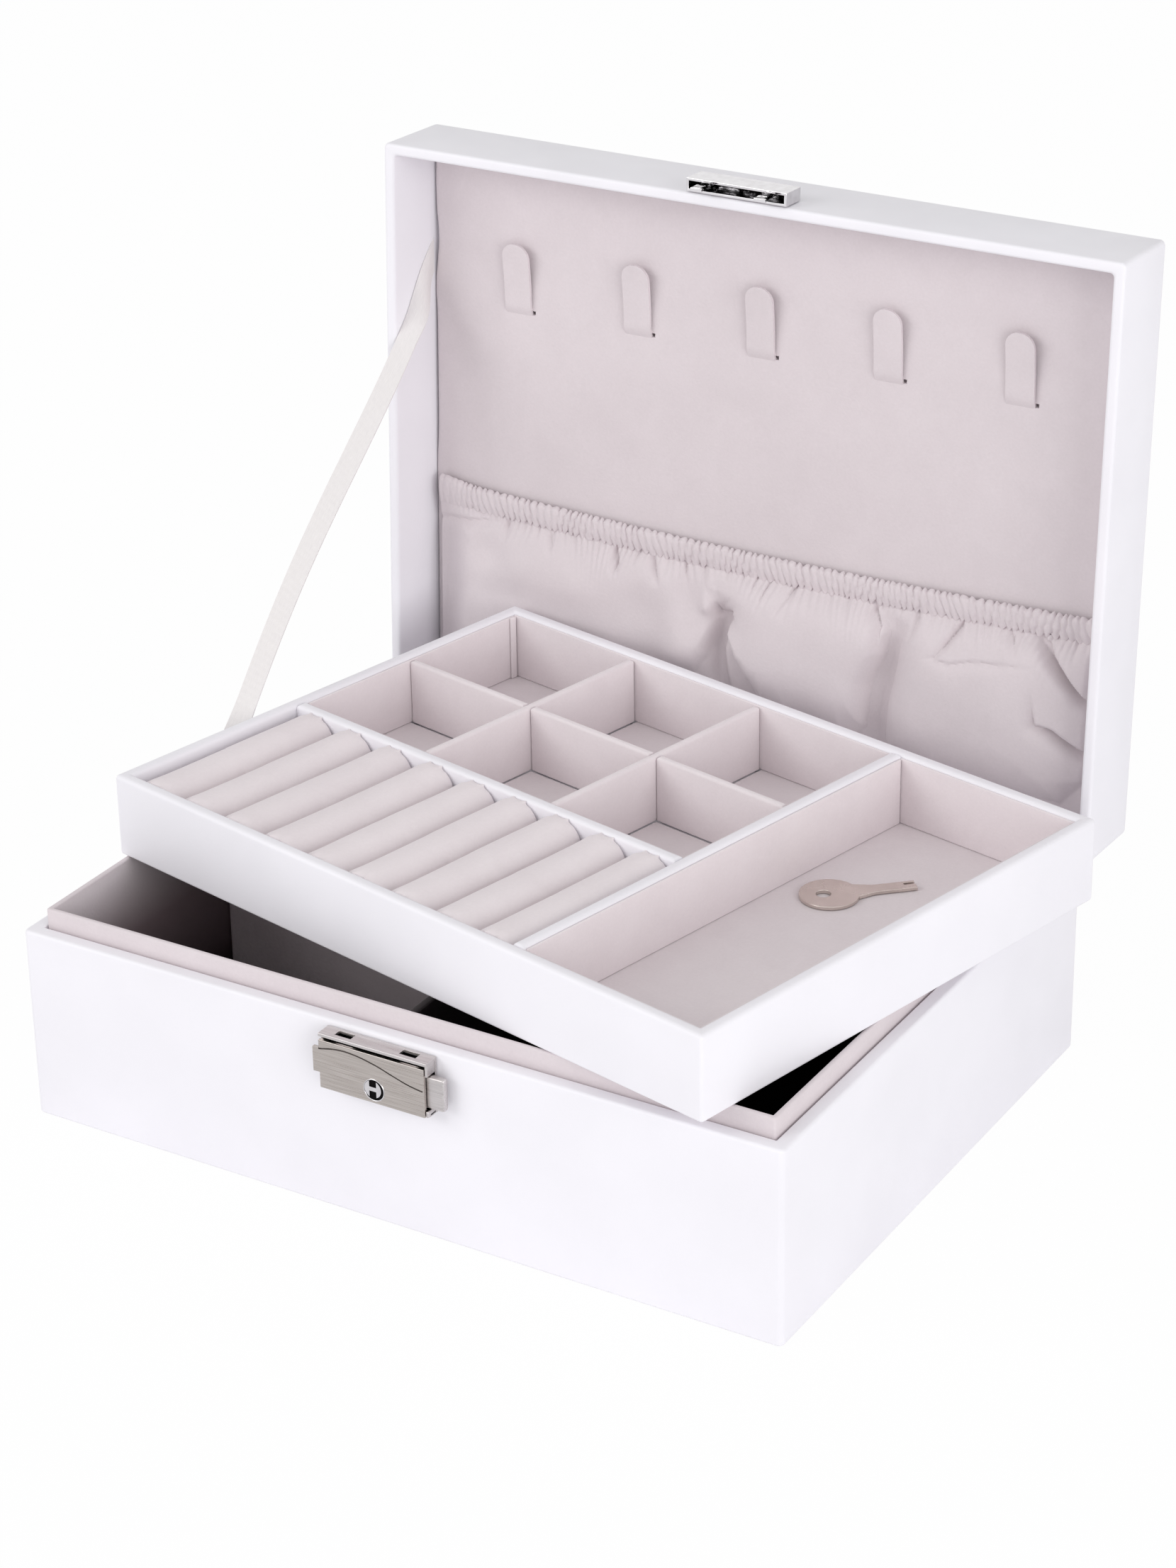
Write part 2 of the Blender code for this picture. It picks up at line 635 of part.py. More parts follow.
def make_lock_body():
    """The lock's case: open towards its cover plate and to the right, slotted on top."""
    half = LOCK_WIDTH / 2
    case = board(
        "lock_body",
        (-half, LOCK_PLATE_BACK_Y + GLUE_GAP, LOCK_BOTTOM),
        (half, LOCK_BACK_Y, LOCK_TOP),
        BRUSHED, edge=0.0,
    )
    cap = cutter(
        "lock_cap",
        (-half, LOCK_FRONT_Y, LOCK_TOP - LOCK_LIP),
        (half, LOCK_BACK_Y - LOCK_WALL, LOCK_TOP),
    )
    combine(case, cap, "UNION")
    cavity = cutter(
        "lock_cavity",
        (-half + LOCK_WALL, LOCK_PLATE_BACK_Y - OVERRUN, LOCK_BOTTOM + LOCK_WALL),
        (half + OVERRUN, LOCK_CAVITY_BACK_Y, LOCK_TOP - LOCK_LIP),
    )
    combine(case, cavity)
    slot_x = PRONG_WIDTH / 2 + SLOT_CLEARANCE
    slot_y = PRONG_THICKNESS / 2 + SLOT_CLEARANCE
    middle_y = -HALF_DEPTH - LATCH_LINE
    for side, x in (("left", -PRONG_SPACING / 2), ("right", PRONG_SPACING / 2)):
        slot = cutter(
            f"{side}_slot",
            (x - slot_x, middle_y - slot_y, LOCK_TOP - LOCK_LIP - OVERRUN),
            (x + slot_x, middle_y + slot_y, LOCK_TOP + OVERRUN),
        )
        combine(case, slot)


def make_lock_plate():
    """The brushed cover plate, with its tab on the left and the keyhole."""
    left, right = -LOCK_WIDTH / 2, LOCK_WIDTH / 2 - LOCK_WALL
    bottom, top = LOCK_BOTTOM, LOCK_TOP - LOCK_LIP - LOCK_PLATE_GAP
    tab_x = left - LOCK_TAB_WIDTH
    tab_low = LOCK_BOTTOM + LOCK_TAB_LOW_share * LOCK_HEIGHT
    tab_high = LOCK_BOTTOM + LOCK_TAB_HIGH_share * LOCK_HEIGHT
    edge = [
        (left, bottom), (right, bottom), (right, top), (left, top),
        (left, tab_high), (tab_x, tab_high), (tab_x, tab_low), (left, tab_low),
    ]
    step = 2.0 * math.pi / PLUG_SEGMENTS
    hole = arc((0.0, KEYHOLE_Z), KEYHOLE_RADIUS, 0.0, 2.0 * math.pi - step, PLUG_SEGMENTS)
    plate = flat_outline("lock_front_plate", [edge, hole], LOCK_PLATE, BRUSHED)
    plate.location = (0.0, LOCK_FRONT_Y + LOCK_PLATE / 2, 0.0)
    plate.rotation_euler = (math.pi / 2, 0.0, 0.0)


def turned_disc(name, radius, front, back):
    """The mesh of a disc about the plug's axis, between two depths."""
    shape = bmesh.new()
    bmesh.ops.create_cone(
        shape, cap_ends=True, segments=PLUG_SEGMENTS, radius1=radius, radius2=radius,
        depth=back - front,
    )
    bmesh.ops.rotate(shape, matrix=Euler((math.pi / 2, 0.0, 0.0)).to_matrix(), verts=shape.verts)
    bmesh.ops.translate(shape, vec=(0.0, (front + back) / 2, 0.0), verts=shape.verts)
    return smooth_mesh(name, shape)


def make_lock_plug():
    """The turning plug: its two-part keyway, and the flange that keeps it in the case."""
    front = LOCK_FRONT_Y + PLUG_RECESS
    back = LOCK_CAVITY_BACK_Y - GLUE_GAP
    radius = KEYHOLE_RADIUS - PLUG_CLEARANCE
    plug = add_object("lock_plug", turned_disc("lock_plug", radius, front, back), CHROME)
    plug.location = (0.0, 0.0, KEYHOLE_Z)
    flange_front = LOCK_PLATE_BACK_Y + GLUE_GAP
    flange = bpy.data.objects.new(
        "plug_flange", turned_disc("plug_flange", PLUG_FLANGE_RADIUS, flange_front, back)
    )
    flange.location = plug.location
    hide_tool(flange)
    combine(plug, flange, "UNION")
    for name, low, high in (
        ("keyway_upper", KEYWAY_BRIDGE / 2, KEYWAY_HEIGHT / 2),
        ("keyway_lower", -KEYWAY_HEIGHT / 2, -KEYWAY_BRIDGE / 2),
    ):
        keyway = cutter(
            name,
            (-KEYWAY_WIDTH / 2, front - OVERRUN, KEYHOLE_Z + low),
            (KEYWAY_WIDTH / 2, front + KEYWAY_DEPTH, KEYHOLE_Z + high),
        )
        combine(plug, keyway)


def least_gap(points, apart, wire_radius):
    """The least gap of a coil to itself, between points at least this many steps apart."""
    spans = [
        (points[later] - points[first]).length
        for first in range(len(points) - apart)
        for later in range(first + apart, len(points))
    ]
    return min(spans) - 2 * wire_radius


def make_lock_button():
    """The release button with its latch arm, and the frame of its slide."""
    outer = LOCK_WIDTH / 2 + BUTTON_PROUD
    inner = LOCK_WIDTH / 2 - BUTTON_INSIDE
    back = LOCK_CAVITY_BACK_Y - BUTTON_CLEARANCE
    front = LOCK_PLATE_BACK_Y + BUTTON_CLEARANCE
    bottom = LOCK_BOTTOM + BUTTON_UP
    top = bottom + BUTTON_HEIGHT
    axis = frame_at("button_slide", (LOCK_WIDTH / 2, (front + back) / 2, (bottom + top) / 2))
    centre = Vector(axis.location)
    button = board(
        "lock_button",
        Vector((inner, front, bottom)) - centre,
        Vector((outer, back, top)) - centre,
        BRUSHED, axis, edge=0.0,
    )
    arm_end = inner - BUTTON_ARM_LENGTH
    arm = cutter(
        "latch_arm",
        Vector((arm_end, front, top - BUTTON_ARM_HEIGHT)) - centre,
        Vector((inner + OVERRUN, back, top)) - centre,
        axis,
    )
    combine(button, arm, "UNION")
    soften(button, BOARD_EDGE, back - front)
    make_button_spring(arm_end, (front + back) / 2, top - BUTTON_ARM_HEIGHT / 2)


def make_button_spring(right, y, z):
    """The coil between the case's left wall and the end of the latch arm."""
    low_x = -LOCK_WIDTH / 2 + LOCK_WALL + BUTTON_CLEARANCE + SPRING_WIRE
    high_x = right - BUTTON_CLEARANCE - SPRING_WIRE
    steps = SPRING_TURNS * SPRING_TURN_POINTS
    turn = 2.0 * math.pi / SPRING_TURN_POINTS
    route = [
        Vector((
            low_x + (high_x - low_x) * step / steps,
            SPRING_RADIUS * math.cos(turn * step),
            SPRING_RADIUS * math.sin(turn * step),
        ))
        for step in range(steps + 1)
    ]
    gap = least_gap(route, SPRING_TURN_POINTS // 2, SPRING_WIRE)
    print("button spring, least gap to itself in metres:", round(gap, 5))
    curve = bpy.data.curves.new("button_spring", "CURVE")
    curve.dimensions = "3D"
    curve.bevel_depth = SPRING_WIRE
    curve.bevel_resolution = 1
    curve.use_fill_caps = True
    spline = curve.splines.new("POLY")
    spline.points.add(steps)
    for point, place in zip(spline.points, route):
        point.co = (*place, 1.0)
    spring = add_object("button_spring", curve, CHROME)
    spring.location = (0.0, y, z)


def make_strike(lid):
    """The chrome strike on the lid's front edge, with its two hooked prongs."""
    half = STRIKE_WIDTH / 2
    low_up, high_up = BOX_DEPTH + GLUE_GAP, BOX_DEPTH + STRIKE_PROUD
    strike = lid_board(
        "strike_plate", (-half, low_up, 0.0), (half, high_up, STRIKE_DEPTH), CHROME, lid, 0.0
    )
    hollow = cutter(
        "strike_hollow",
        lid_point(-half + STRIKE_WALL, high_up - STRIKE_WALL, -OVERRUN),
        lid_point(half - STRIKE_WALL, low_up + STRIKE_WALL, STRIKE_DEPTH - STRIKE_WALL),
        lid,
    )
    combine(strike, hollow)
    up = BOX_DEPTH + LATCH_LINE
    for side, x in (("left", -PRONG_SPACING / 2), ("right", PRONG_SPACING / 2)):
        prong = cutter(
            f"{side}_prong",
            lid_point(x - PRONG_WIDTH / 2, up + PRONG_THICKNESS / 2, -PRONG_LENGTH),
            lid_point(
                x + PRONG_WIDTH / 2 - PRONG_NOSE,
                up - PRONG_THICKNESS / 2,
                STRIKE_DEPTH - STRIKE_WALL / 2,
            ),
            lid,
        )
        combine(strike, prong, "UNION")
        nose = cutter(
            f"{side}_nose",
            lid_point(x, up + PRONG_THICKNESS / 2, -PRONG_LENGTH),
            lid_point(x + PRONG_WIDTH / 2, up - PRONG_THICKNESS / 2, PRONG_NOSE - PRONG_LENGTH),
            lid,
        )
        combine(strike, nose, "UNION")


def make_tray(tray):
    """Boards of the tray and the lining of its floor."""
    outer = (TRAY_WIDTH / 2, TRAY_DEPTH / 2)
    inner = (TRAY_INNER_X, TRAY_INNER_Y)
    names = ("tray_front_wall", "tray_back_wall", "tray_left_wall", "tray_right_wall")
    four_walls(names, outer, inner, 0.0, TRAY_HEIGHT, LEATHER, tray)
    floor_x, floor_y = inner[0] - GLUE_GAP, inner[1] - GLUE_GAP
    board("tray_bottom_board", (-floor_x, -floor_y, 0.0), (floor_x, floor_y, TRAY_BOTTOM),
          LEATHER, tray)
    lining_low = TRAY_BOTTOM + GLUE_GAP
    board("tray_floor_lining", (-floor_x, -floor_y, lining_low), (floor_x, floor_y, TRAY_FLOOR),
          SUEDE, tray, LINING_EDGE)


def make_dividers(tray):
    """The two white-topped dividers, and the half-lapped suede ones of the small cells."""
    main, small = MAIN_DIVIDER / 2, SMALL_DIVIDER / 2
    end_y = TRAY_INNER_Y - GLUE_GAP
    board(
        "long_compartment_divider",
        (LONG_DIVIDER_X - main, -end_y, DIVIDER_BOTTOM),
        (LONG_DIVIDER_X + main, end_y, TRAY_HEIGHT),
        LEATHER, tray,
    )
    left_x, right_x = -TRAY_INNER_X + GLUE_GAP, CELLS_RIGHT_X - GLUE_GAP
    board(
        "ring_section_divider",
        (left_x, RING_DIVIDER_Y - main, DIVIDER_BOTTOM),
        (right_x, RING_DIVIDER_Y + main, TRAY_HEIGHT),
        LEATHER, tray,
    )
    row = board(
        "row_divider",
        (left_x, ROW_DIVIDER_Y - small, DIVIDER_BOTTOM),
        (right_x, ROW_DIVIDER_Y + small, SMALL_DIVIDER_TOP),
        SUEDE, tray, LINING_EDGE,
    )
    notch = small + GLUE_GAP
    for number in range(1, COLUMN_COUNT):
        x = -TRAY_INNER_X + CELLS_WIDTH * number / COLUMN_COUNT
        column = board(
            f"column_divider_{number}",
            (x - small, CELLS_FRONT_Y + GLUE_GAP, DIVIDER_BOTTOM),
            (x + small, end_y, SMALL_DIVIDER_TOP),
            SUEDE, tray, LINING_EDGE,
        )
        row_notch = cutter(
            f"row_notch_{number}",
            (x - notch, ROW_DIVIDER_Y - small - OVERRUN, SMALL_DIVIDER_MIDDLE),
            (x + notch, ROW_DIVIDER_Y + small + OVERRUN, SMALL_DIVIDER_TOP + OVERRUN),
            tray,
        )
        combine(row, row_notch)
        column_notch = cutter(
            f"column_notch_{number}",
            (x - small - OVERRUN, ROW_DIVIDER_Y - notch, DIVIDER_BOTTOM - OVERRUN),
            (x + small + OVERRUN, ROW_DIVIDER_Y + notch, SMALL_DIVIDER_MIDDLE + GLUE_GAP),
            tray,
        )
        combine(column, column_notch)


def make_ring_rolls(tray):
    """The row of padded rolls that grip rings between them."""
    left, right = -TRAY_INNER_X, CELLS_RIGHT_X
    pitch = (right - left - GLUE_GAP) / ROLL_COUNT
    half = (pitch - GLUE_GAP) / 2
    bottom = TRAY_FLOOR + GLUE_GAP
    shoulder = TRAY_HEIGHT - ROLL_CROWN_DROP - ROLL_CROWN_RISE - bottom
    outline = [(-half, 0.0), (half, 0.0)]
    for x, rise in arc((0.0, 0.0), 1.0, 0.0, math.pi, ROLL_ARC_POINTS):
        outline.append((half * x, shoulder + ROLL_CROWN_RISE * rise))
    length = RING_SECTION_DEPTH - 2 * GLUE_GAP
    for number in range(ROLL_COUNT):
        roll = flat_outline(f"ring_roll_{number + 1}", [outline], length, SUEDE, tray)
        middle_y = -TRAY_INNER_Y + RING_SECTION_DEPTH / 2
        roll.location = (left + GLUE_GAP + half + pitch * number, middle_y, bottom)
        roll.rotation_euler = (math.pi / 2, 0.0, 0.0)


def make_key(tray):
    """The flat key: round bow with a hole, tapered blade, forked tip."""
    neck_angle = math.asin(KEY_NECK_WIDTH / 2 / KEY_BOW_RADIUS)
    bow = arc((0.0, 0.0), KEY_BOW_RADIUS, neck_angle, 2.0 * math.pi - neck_angle, KEY_ARC_POINTS)
    tip = KEY_LENGTH - KEY_BOW_RADIUS
    half_tip, half_fork = KEY_TIP_WIDTH / 2, KEY_FORK_WIDTH / 2
    fork_x = tip - KEY_FORK_DEPTH
    blade = [
        (KEY_NECK_LENGTH, -half_tip),
        (tip, -half_tip),
        (tip, KEY_FORK_OFFSET - half_fork),
        (fork_x, KEY_FORK_OFFSET - half_fork),
        (fork_x, KEY_FORK_OFFSET + half_fork),
        (tip, KEY_FORK_OFFSET + half_fork),
        (tip, half_tip),
        (KEY_NECK_LENGTH, half_tip),
    ]
    step = 2.0 * math.pi / KEY_HOLE_POINTS
    hole = arc(
        (-KEY_HOLE_OFFSET, 0.0), KEY_HOLE_RADIUS, 0.0, 2.0 * math.pi - step, KEY_HOLE_POINTS
    )
    key = flat_outline("key", [bow + blade, hole], KEY_THICKNESS, NICKEL, tray)
    key.location = (
        LONG_DIVIDER_X + MAIN_DIVIDER / 2 + KEY_FROM_DIVIDER,
        TRAY_INNER_Y - KEY_FROM_BACK,
        TRAY_FLOOR + GLUE_GAP + KEY_THICKNESS / 2,
    )
    key.rotation_euler = (0.0, 0.0, KEY_TURN)


def build():
    """The whole box, open, with its tray askew."""
    lid = frame_at("lid_hinge_axis", (0.0, HINGE_Y, HINGE_Z), (-LID_OPEN_ANGLE, 0.0, 0.0))
    tray = frame_at(
        "tray_place", (TRAY_SHIFT_X, TRAY_SHIFT_Y, TRAY_REST_Z), (0.0, 0.0, TRAY_TURN)
    )
    make_base()
    panel = make_lid(lid)
    make_hooks(lid, panel)
    make_pocket(lid)
    bpy.context.view_layer.update()
    make_hinge(lid.matrix_world)
    make_ribbon(lid.matrix_world)
    make_lock_body()
    make_lock_plate()
    make_lock_plug()
    make_lock_button()
    make_strike(lid)
    make_tray(tray)
    make_dividers(tray)
    make_ring_rolls(tray)
    make_key(tray)
    bpy.context.view_layer.update()


build()
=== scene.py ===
# %% [markdown]
# # A jewelry box with an open lid, a lock and a loose tray
# The imported solid model is the frame: every piece below sits where one of its solids is,
# and all but the ribbon and the spine move with one of its bodies. A piece is a surface over
# two parameters, worked out as whole arrays in millimetres, and becomes metres only when its
# mesh is made.

# %% Load the frame
import math

import bmesh
import bpy
import numpy as np
from mathutils import Euler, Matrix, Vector


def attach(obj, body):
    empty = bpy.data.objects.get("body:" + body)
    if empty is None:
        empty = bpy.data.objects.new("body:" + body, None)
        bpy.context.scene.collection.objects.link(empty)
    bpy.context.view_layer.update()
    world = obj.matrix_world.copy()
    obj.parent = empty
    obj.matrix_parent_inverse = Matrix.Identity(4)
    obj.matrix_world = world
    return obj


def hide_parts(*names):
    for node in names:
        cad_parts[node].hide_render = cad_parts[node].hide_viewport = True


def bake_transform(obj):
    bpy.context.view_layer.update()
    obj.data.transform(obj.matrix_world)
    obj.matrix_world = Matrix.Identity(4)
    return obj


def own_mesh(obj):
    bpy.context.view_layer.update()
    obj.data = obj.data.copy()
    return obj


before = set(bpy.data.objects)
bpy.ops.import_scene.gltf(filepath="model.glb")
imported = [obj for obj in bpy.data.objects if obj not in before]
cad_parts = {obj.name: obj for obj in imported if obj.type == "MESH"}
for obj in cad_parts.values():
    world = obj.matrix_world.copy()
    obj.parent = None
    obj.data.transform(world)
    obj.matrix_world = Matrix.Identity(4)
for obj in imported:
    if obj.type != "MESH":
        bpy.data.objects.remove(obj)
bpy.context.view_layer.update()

MM = 0.001
scene = bpy.context.scene


def linked(name, data):
    """An object of a mesh, a lamp or a camera, put in the scene."""
    holder = bpy.data.objects.new(name, data)
    scene.collection.objects.link(holder)
    return holder


# %% [markdown]
# The photograph was taken from the right of the lock, a little above the lid, with a long
# lens. Its place was found by laying drawings of the solids over the photograph.

# %% Camera
CAMERA_PLACE = (497.66, -803.05, 553.29)
CAMERA_TURN = (63.979, 0.843, 30.841)
CAMERA_LENS = 88.81

camera = linked("camera", bpy.data.cameras.new("camera"))
camera.location = Vector(CAMERA_PLACE) * MM
camera.rotation_euler = Euler([math.radians(turn) for turn in CAMERA_TURN])
camera.data.lens = CAMERA_LENS
scene.camera = camera
print("camera lens:", camera.data.lens, "mm")

# %% [markdown]
# Two of the bodies stand askew: the lid leans back on its hinge, and the tray lies turned
# across the rim of the base. Their pieces are worked out square to themselves first and
# turned into place last, so that a size can be read straight off the real piece.

# %% Frames of the lid and the tray
HINGE_Y, HINGE_Z = 88.5, 53.2
LID_LEAN = math.radians(-92.4)
LID_EDGE_Y, LID_EDGE_Z = -1, 4.9
TRAY_X, TRAY_Y, TRAY_Z = 9.2, 6.8, 63.4
TRAY_TURN = math.radians(-12.6)


def xyz(x, y, z):
    """Three coordinates, spread to one shape, as points."""
    return np.stack(np.broadcast_arrays(x, y, z), axis=-1)


def turned(first, second, angle):
    """Two coordinates turned by an angle: cosine of one less sine of the other, and so on."""
    cosine, sine = math.cos(angle), math.sin(angle)
    return first * cosine - second * sine, first * sine + second * cosine


def in_lid(points):
    """From x, height above the hinge edge and depth below the rim to the box's own frame."""
    x, up, depth = np.moveaxis(points, -1, 0)
    y, z = turned(LID_EDGE_Y - up, LID_EDGE_Z + depth, LID_LEAN)
    return xyz(x, HINGE_Y + y, HINGE_Z + z)


def in_tray(points):
    """From the tray's own frame to the box's: turned about the vertical, then shifted."""
    x, y, z = np.moveaxis(points, -1, 0)
    x, y = turned(x, y, TRAY_TURN)
    return xyz(TRAY_X + x, TRAY_Y + y, TRAY_Z + z)


print("front edge of the lid:", in_lid(np.array([0, 175, 0])).round(1), "mm")

# %% [markdown]
# Most pieces here are boards, cards and cloth, so three shapes do nearly all the work: a
# grid of points, a slab between two grids, and a profile carried round a rectangle.

# %% Grids, slabs and wraps


def grid_quads(rows, columns, round_rows=False, round_columns=False):
    """Quads between neighbours in a grid of points; a round direction joins its ends."""
    row = np.arange(rows if round_rows else rows - 1)
    column = np.arange(columns if round_columns else columns - 1)
    row, column = (side.ravel() for side in np.meshgrid(row, column, indexing="ij"))
    row_after, column_after = (row + 1) % rows, (column + 1) % columns
    corners = (
        row * columns + column,
        row * columns + column_after,
        row_after * columns + column_after,
        row_after * columns + column,
    )
    return np.stack(corners, axis=-1).tolist()


def slab(front, back):
    """A closed solid between two grids: both grids, and a wall once round their edge."""
    rows, columns = front.shape[:2]
    count = rows * columns
    index = np.arange(count).reshape(rows, columns)
    rim = np.concatenate([index[0, :-1], index[:-1, -1], index[-1, :0:-1], index[:0:-1, 0]])
    after = np.roll(rim, -1)
    face = np.array(grid_quads(rows, columns))
    wall = np.stack([after, rim, rim + count, after + count], axis=-1)
    points = np.concatenate([front.reshape(-1, 3), back.reshape(-1, 3)])
    return points, np.concatenate([face, face[:, ::-1] + count, wall]).tolist()


def carried(rounds, capped):
    """The skin of rounds of points: closed by two end faces, or led back to its start."""
    rows, columns = rounds.shape[:2]
    faces = grid_quads(rows, columns, round_rows=not capped, round_columns=True)
    if capped:
        first = list(range(columns))
        faces += [first[::-1], [corner + (rows - 1) * columns for corner in first]]
    return rounds.reshape(-1, 3), faces


def wrap(half_x, half_y, profile, corner, capped, least=0.3, steps=6):
    """A profile carried round a rectangle.

    Each row of the profile is an inset and a height. Its loop is the rectangle less the
    inset, its corners being quarter circles whose radius is the outer one less the inset.
    """
    inset, height = np.array(profile, float).T
    radius = np.maximum(corner - inset, least)[:, None]
    quarter = np.linspace(0, math.pi / 2, steps + 1)
    angle = (quarter + math.pi / 2 * np.arange(4)[:, None]).ravel()
    side_x = np.repeat([1, -1, -1, 1], steps + 1)
    side_y = np.repeat([1, 1, -1, -1], steps + 1)
    x = side_x * (half_x - inset[:, None] - radius) + radius * np.cos(angle)
    y = side_y * (half_y - inset[:, None] - radius) + radius * np.sin(angle)
    return carried(xyz(x, y, height[:, None]), capped)


def bend(inset, height, radius, start, stop, steps=5):
    """Rows of a rounded fold: its centre plus the radius at angles from start to stop."""
    angle = np.radians(np.linspace(start, stop, steps + 1))
    rows = np.stack([inset + radius * np.cos(angle), height + radius * np.sin(angle)], axis=-1)
    return rows.tolist()


def wall_profile(thick, low, high, foot, rim, inner_rim, inner_foot):
    """The profile of a wall: up its outer side, over the rim and down its inner side."""
    return (
        bend(foot, low + foot, foot, 270, 180)
        + bend(rim, high - rim, rim, 180, 90)
        + bend(thick - inner_rim, high - inner_rim, inner_rim, 90, 0)
        + bend(thick - inner_foot, low + inner_foot, inner_foot, 0, -90)
    )


def block(low, high, corner, edge, top_edge=None):
    """A board between two corners: upright corners, and the folds of bottom and top."""
    low, high = np.array(low, float), np.array(high, float)
    half_x, half_y = (high - low)[:2] / 2
    tall, top_edge = high[2] - low[2], top_edge or edge
    profile = bend(edge, edge, edge, 270, 180) + bend(top_edge, tall - top_edge, top_edge, 180, 90)
    points, faces = wrap(half_x, half_y, profile, corner, capped=True, least=0.02)
    return points + [*(low + high)[:2] / 2, low[2]], faces


def together(parts):
    """Several shapes as one: their points in a row, each shape's faces counted on."""
    starts = np.cumsum([0] + [len(points) for points, _ in parts])
    faces = [
        [corner + start for corner in face]
        for (_, part), start in zip(parts, starts.tolist())
        for face in part
    ]
    return np.concatenate([points for points, _ in parts]), faces


def sides_of(pattern):
    """The names of four solids, one on each side of the box."""
    return tuple(pattern.format(side) for side in ("front", "back", "left", "right"))


# %% [markdown]
# A mesh is turned right side out by the sign of its volume, and shaded smooth except
# across edges that the real piece has sharp. Its body says whether it is laid out in the
# frame of the lid or the tray.

# %% Make a piece of the box
SHARP_EDGE = math.radians(40)
PLACES = {"lid": in_lid, "tray": in_tray}


def make_piece(name, shape, finish, body=None, stands_for=(), uv=None):
    """A mesh in the box's frame, with its finish, its body and the solids it replaces."""
    points, faces = shape
    if body in PLACES:
        points = PLACES[body](points)
    mesh = bpy.data.meshes.new(name)
    mesh.from_pydata((points * MM).tolist(), [], faces)
    if uv is not None:
        corner_points = np.zeros(len(mesh.loops), int)
        mesh.loops.foreach_get("vertex_index", corner_points)
        layer = mesh.uv_layers.new(name="surface")
        layer.data.foreach_set("uv", uv.reshape(-1, 2)[corner_points].ravel())
    solid = bmesh.new()
    solid.from_mesh(mesh)
    if solid.calc_volume(signed=True) < 0:
        bmesh.ops.reverse_faces(solid, faces=solid.faces)
    solid.to_mesh(mesh)
    solid.free()
    return dress(name, mesh, finish, body, stands_for)


def dress(name, mesh, finish, body, stands_for):
    """The object of a finished mesh, riding on its body."""
    mesh.shade_smooth()
    mesh.set_sharp_from_angle(angle=SHARP_EDGE)
    mesh.materials.append(finish)
    piece = linked(name, mesh)
    if body:
        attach(piece, body)
    if stands_for:
        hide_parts(*stands_for)
    print(f"{name}: {len(mesh.polygons)} faces")
    return piece


def round_edges(piece, width):
    """Round a piece's sharp edges over so many millimetres."""
    edge = piece.modifiers.new("rounded edge", "BEVEL")
    edge.width, edge.segments, edge.limit_method = width * MM, 3, "ANGLE"
    return edge


# %% [markdown]
# Finishes are networks of nodes on the object's own coordinates, which are metres here,
# so a pattern of so many millimetres has a scale of one over that size in metres.

# %% Colours and nodes


def linear(code):
    """Linear light of an sRGB hex code: each share is lifted by 0.055 and raised to 2.4."""
    share = np.array([int(code[at : at + 2], 16) for at in (0, 2, 4)]) / 255
    light = np.where(share <= 0.04045, share / 12.92, ((share + 0.055) / 1.055) ** 2.4)
    return (*light.tolist(), 1)


def fill(node, inputs):
    """A node's sockets set to values, or linked to the sockets of other nodes."""
    for name, value in inputs.items():
        if isinstance(value, bpy.types.NodeSocket):
            node.id_data.links.new(value, node.inputs[name])
        else:
            node.inputs[name].default_value = value


def add(tree, kind, inputs, stops=(), **settings):
    """One node with its settings, its ramp's colour stops and its inputs; gives its outputs."""
    made = tree.nodes.new("ShaderNode" + kind)
    for name, value in settings.items():
        setattr(made, name, value)
    for place, (at, code) in enumerate(stops):
        stop = made.color_ramp.elements[place] if place < 2 else made.color_ramp.elements.new(at)
        stop.position, stop.color = at, linear(code)
    fill(made, inputs)
    return made.outputs


def per_mm(size):
    """The scale of a texture whose pattern repeats every so many millimetres."""
    return 1 / (size * MM)


def place_on(tree):
    """The object's own coordinates."""
    return add(tree, "TexCoord", {})["Object"]


def noise(tree, place, size, detail, **more):
    """Noise with features of so many millimetres."""
    inputs = {"Vector": place, "Scale": per_mm(size), "Detail": detail, **more}
    return add(tree, "TexNoise", inputs)["Fac"]


def ramp(tree, share, *stops):
    """A colour that follows a share from stop to stop."""
    return add(tree, "ValToRGB", {"Fac": share}, stops)["Color"]


def carry(tree, value, low, high, to_low=0, to_high=1):
    """A value carried from one range over to another."""
    ends = {"From Min": low, "From Max": high, "To Min": to_low, "To Max": to_high}
    return add(tree, "MapRange", {"Value": value, **ends})["Result"]


def relief(tree, height, strength, deep, **more):
    """The normals of a bump of so many millimetres."""
    inputs = {"Height": height, "Strength": strength, "Distance": deep * MM, **more}
    return add(tree, "Bump", inputs)["Normal"]


def reckon(tree, operation, *values):
    """Arithmetic on sockets and numbers."""
    return add(tree, "Math", dict(enumerate(values)), operation=operation)["Value"]


def finish_called(name, colour, sockets):
    """A material with its shader's sockets set, and its tree for patterns."""
    material = bpy.data.materials.new(name)
    material.use_nodes = True
    material.diffuse_color = linear(colour)
    shader = material.node_tree.nodes["Principled BSDF"]
    fill(shader, {"Base Color": linear(colour), **sockets})
    return material, material.node_tree, shader


# %% [markdown]
# The box is covered in leatherette: a PVC skin, embossed with a fine pebble grain, glued
# over board. To the eye it is a clean white with a low satin gloss. The pebbles of such a
# skin are about 0.4 mm across, which is too fine to show, so they are drawn at 0.9 mm.

# %% White leatherette
PEBBLE = 0.9
GLUE_WAVE = 34
HANDLING_MARK = 9

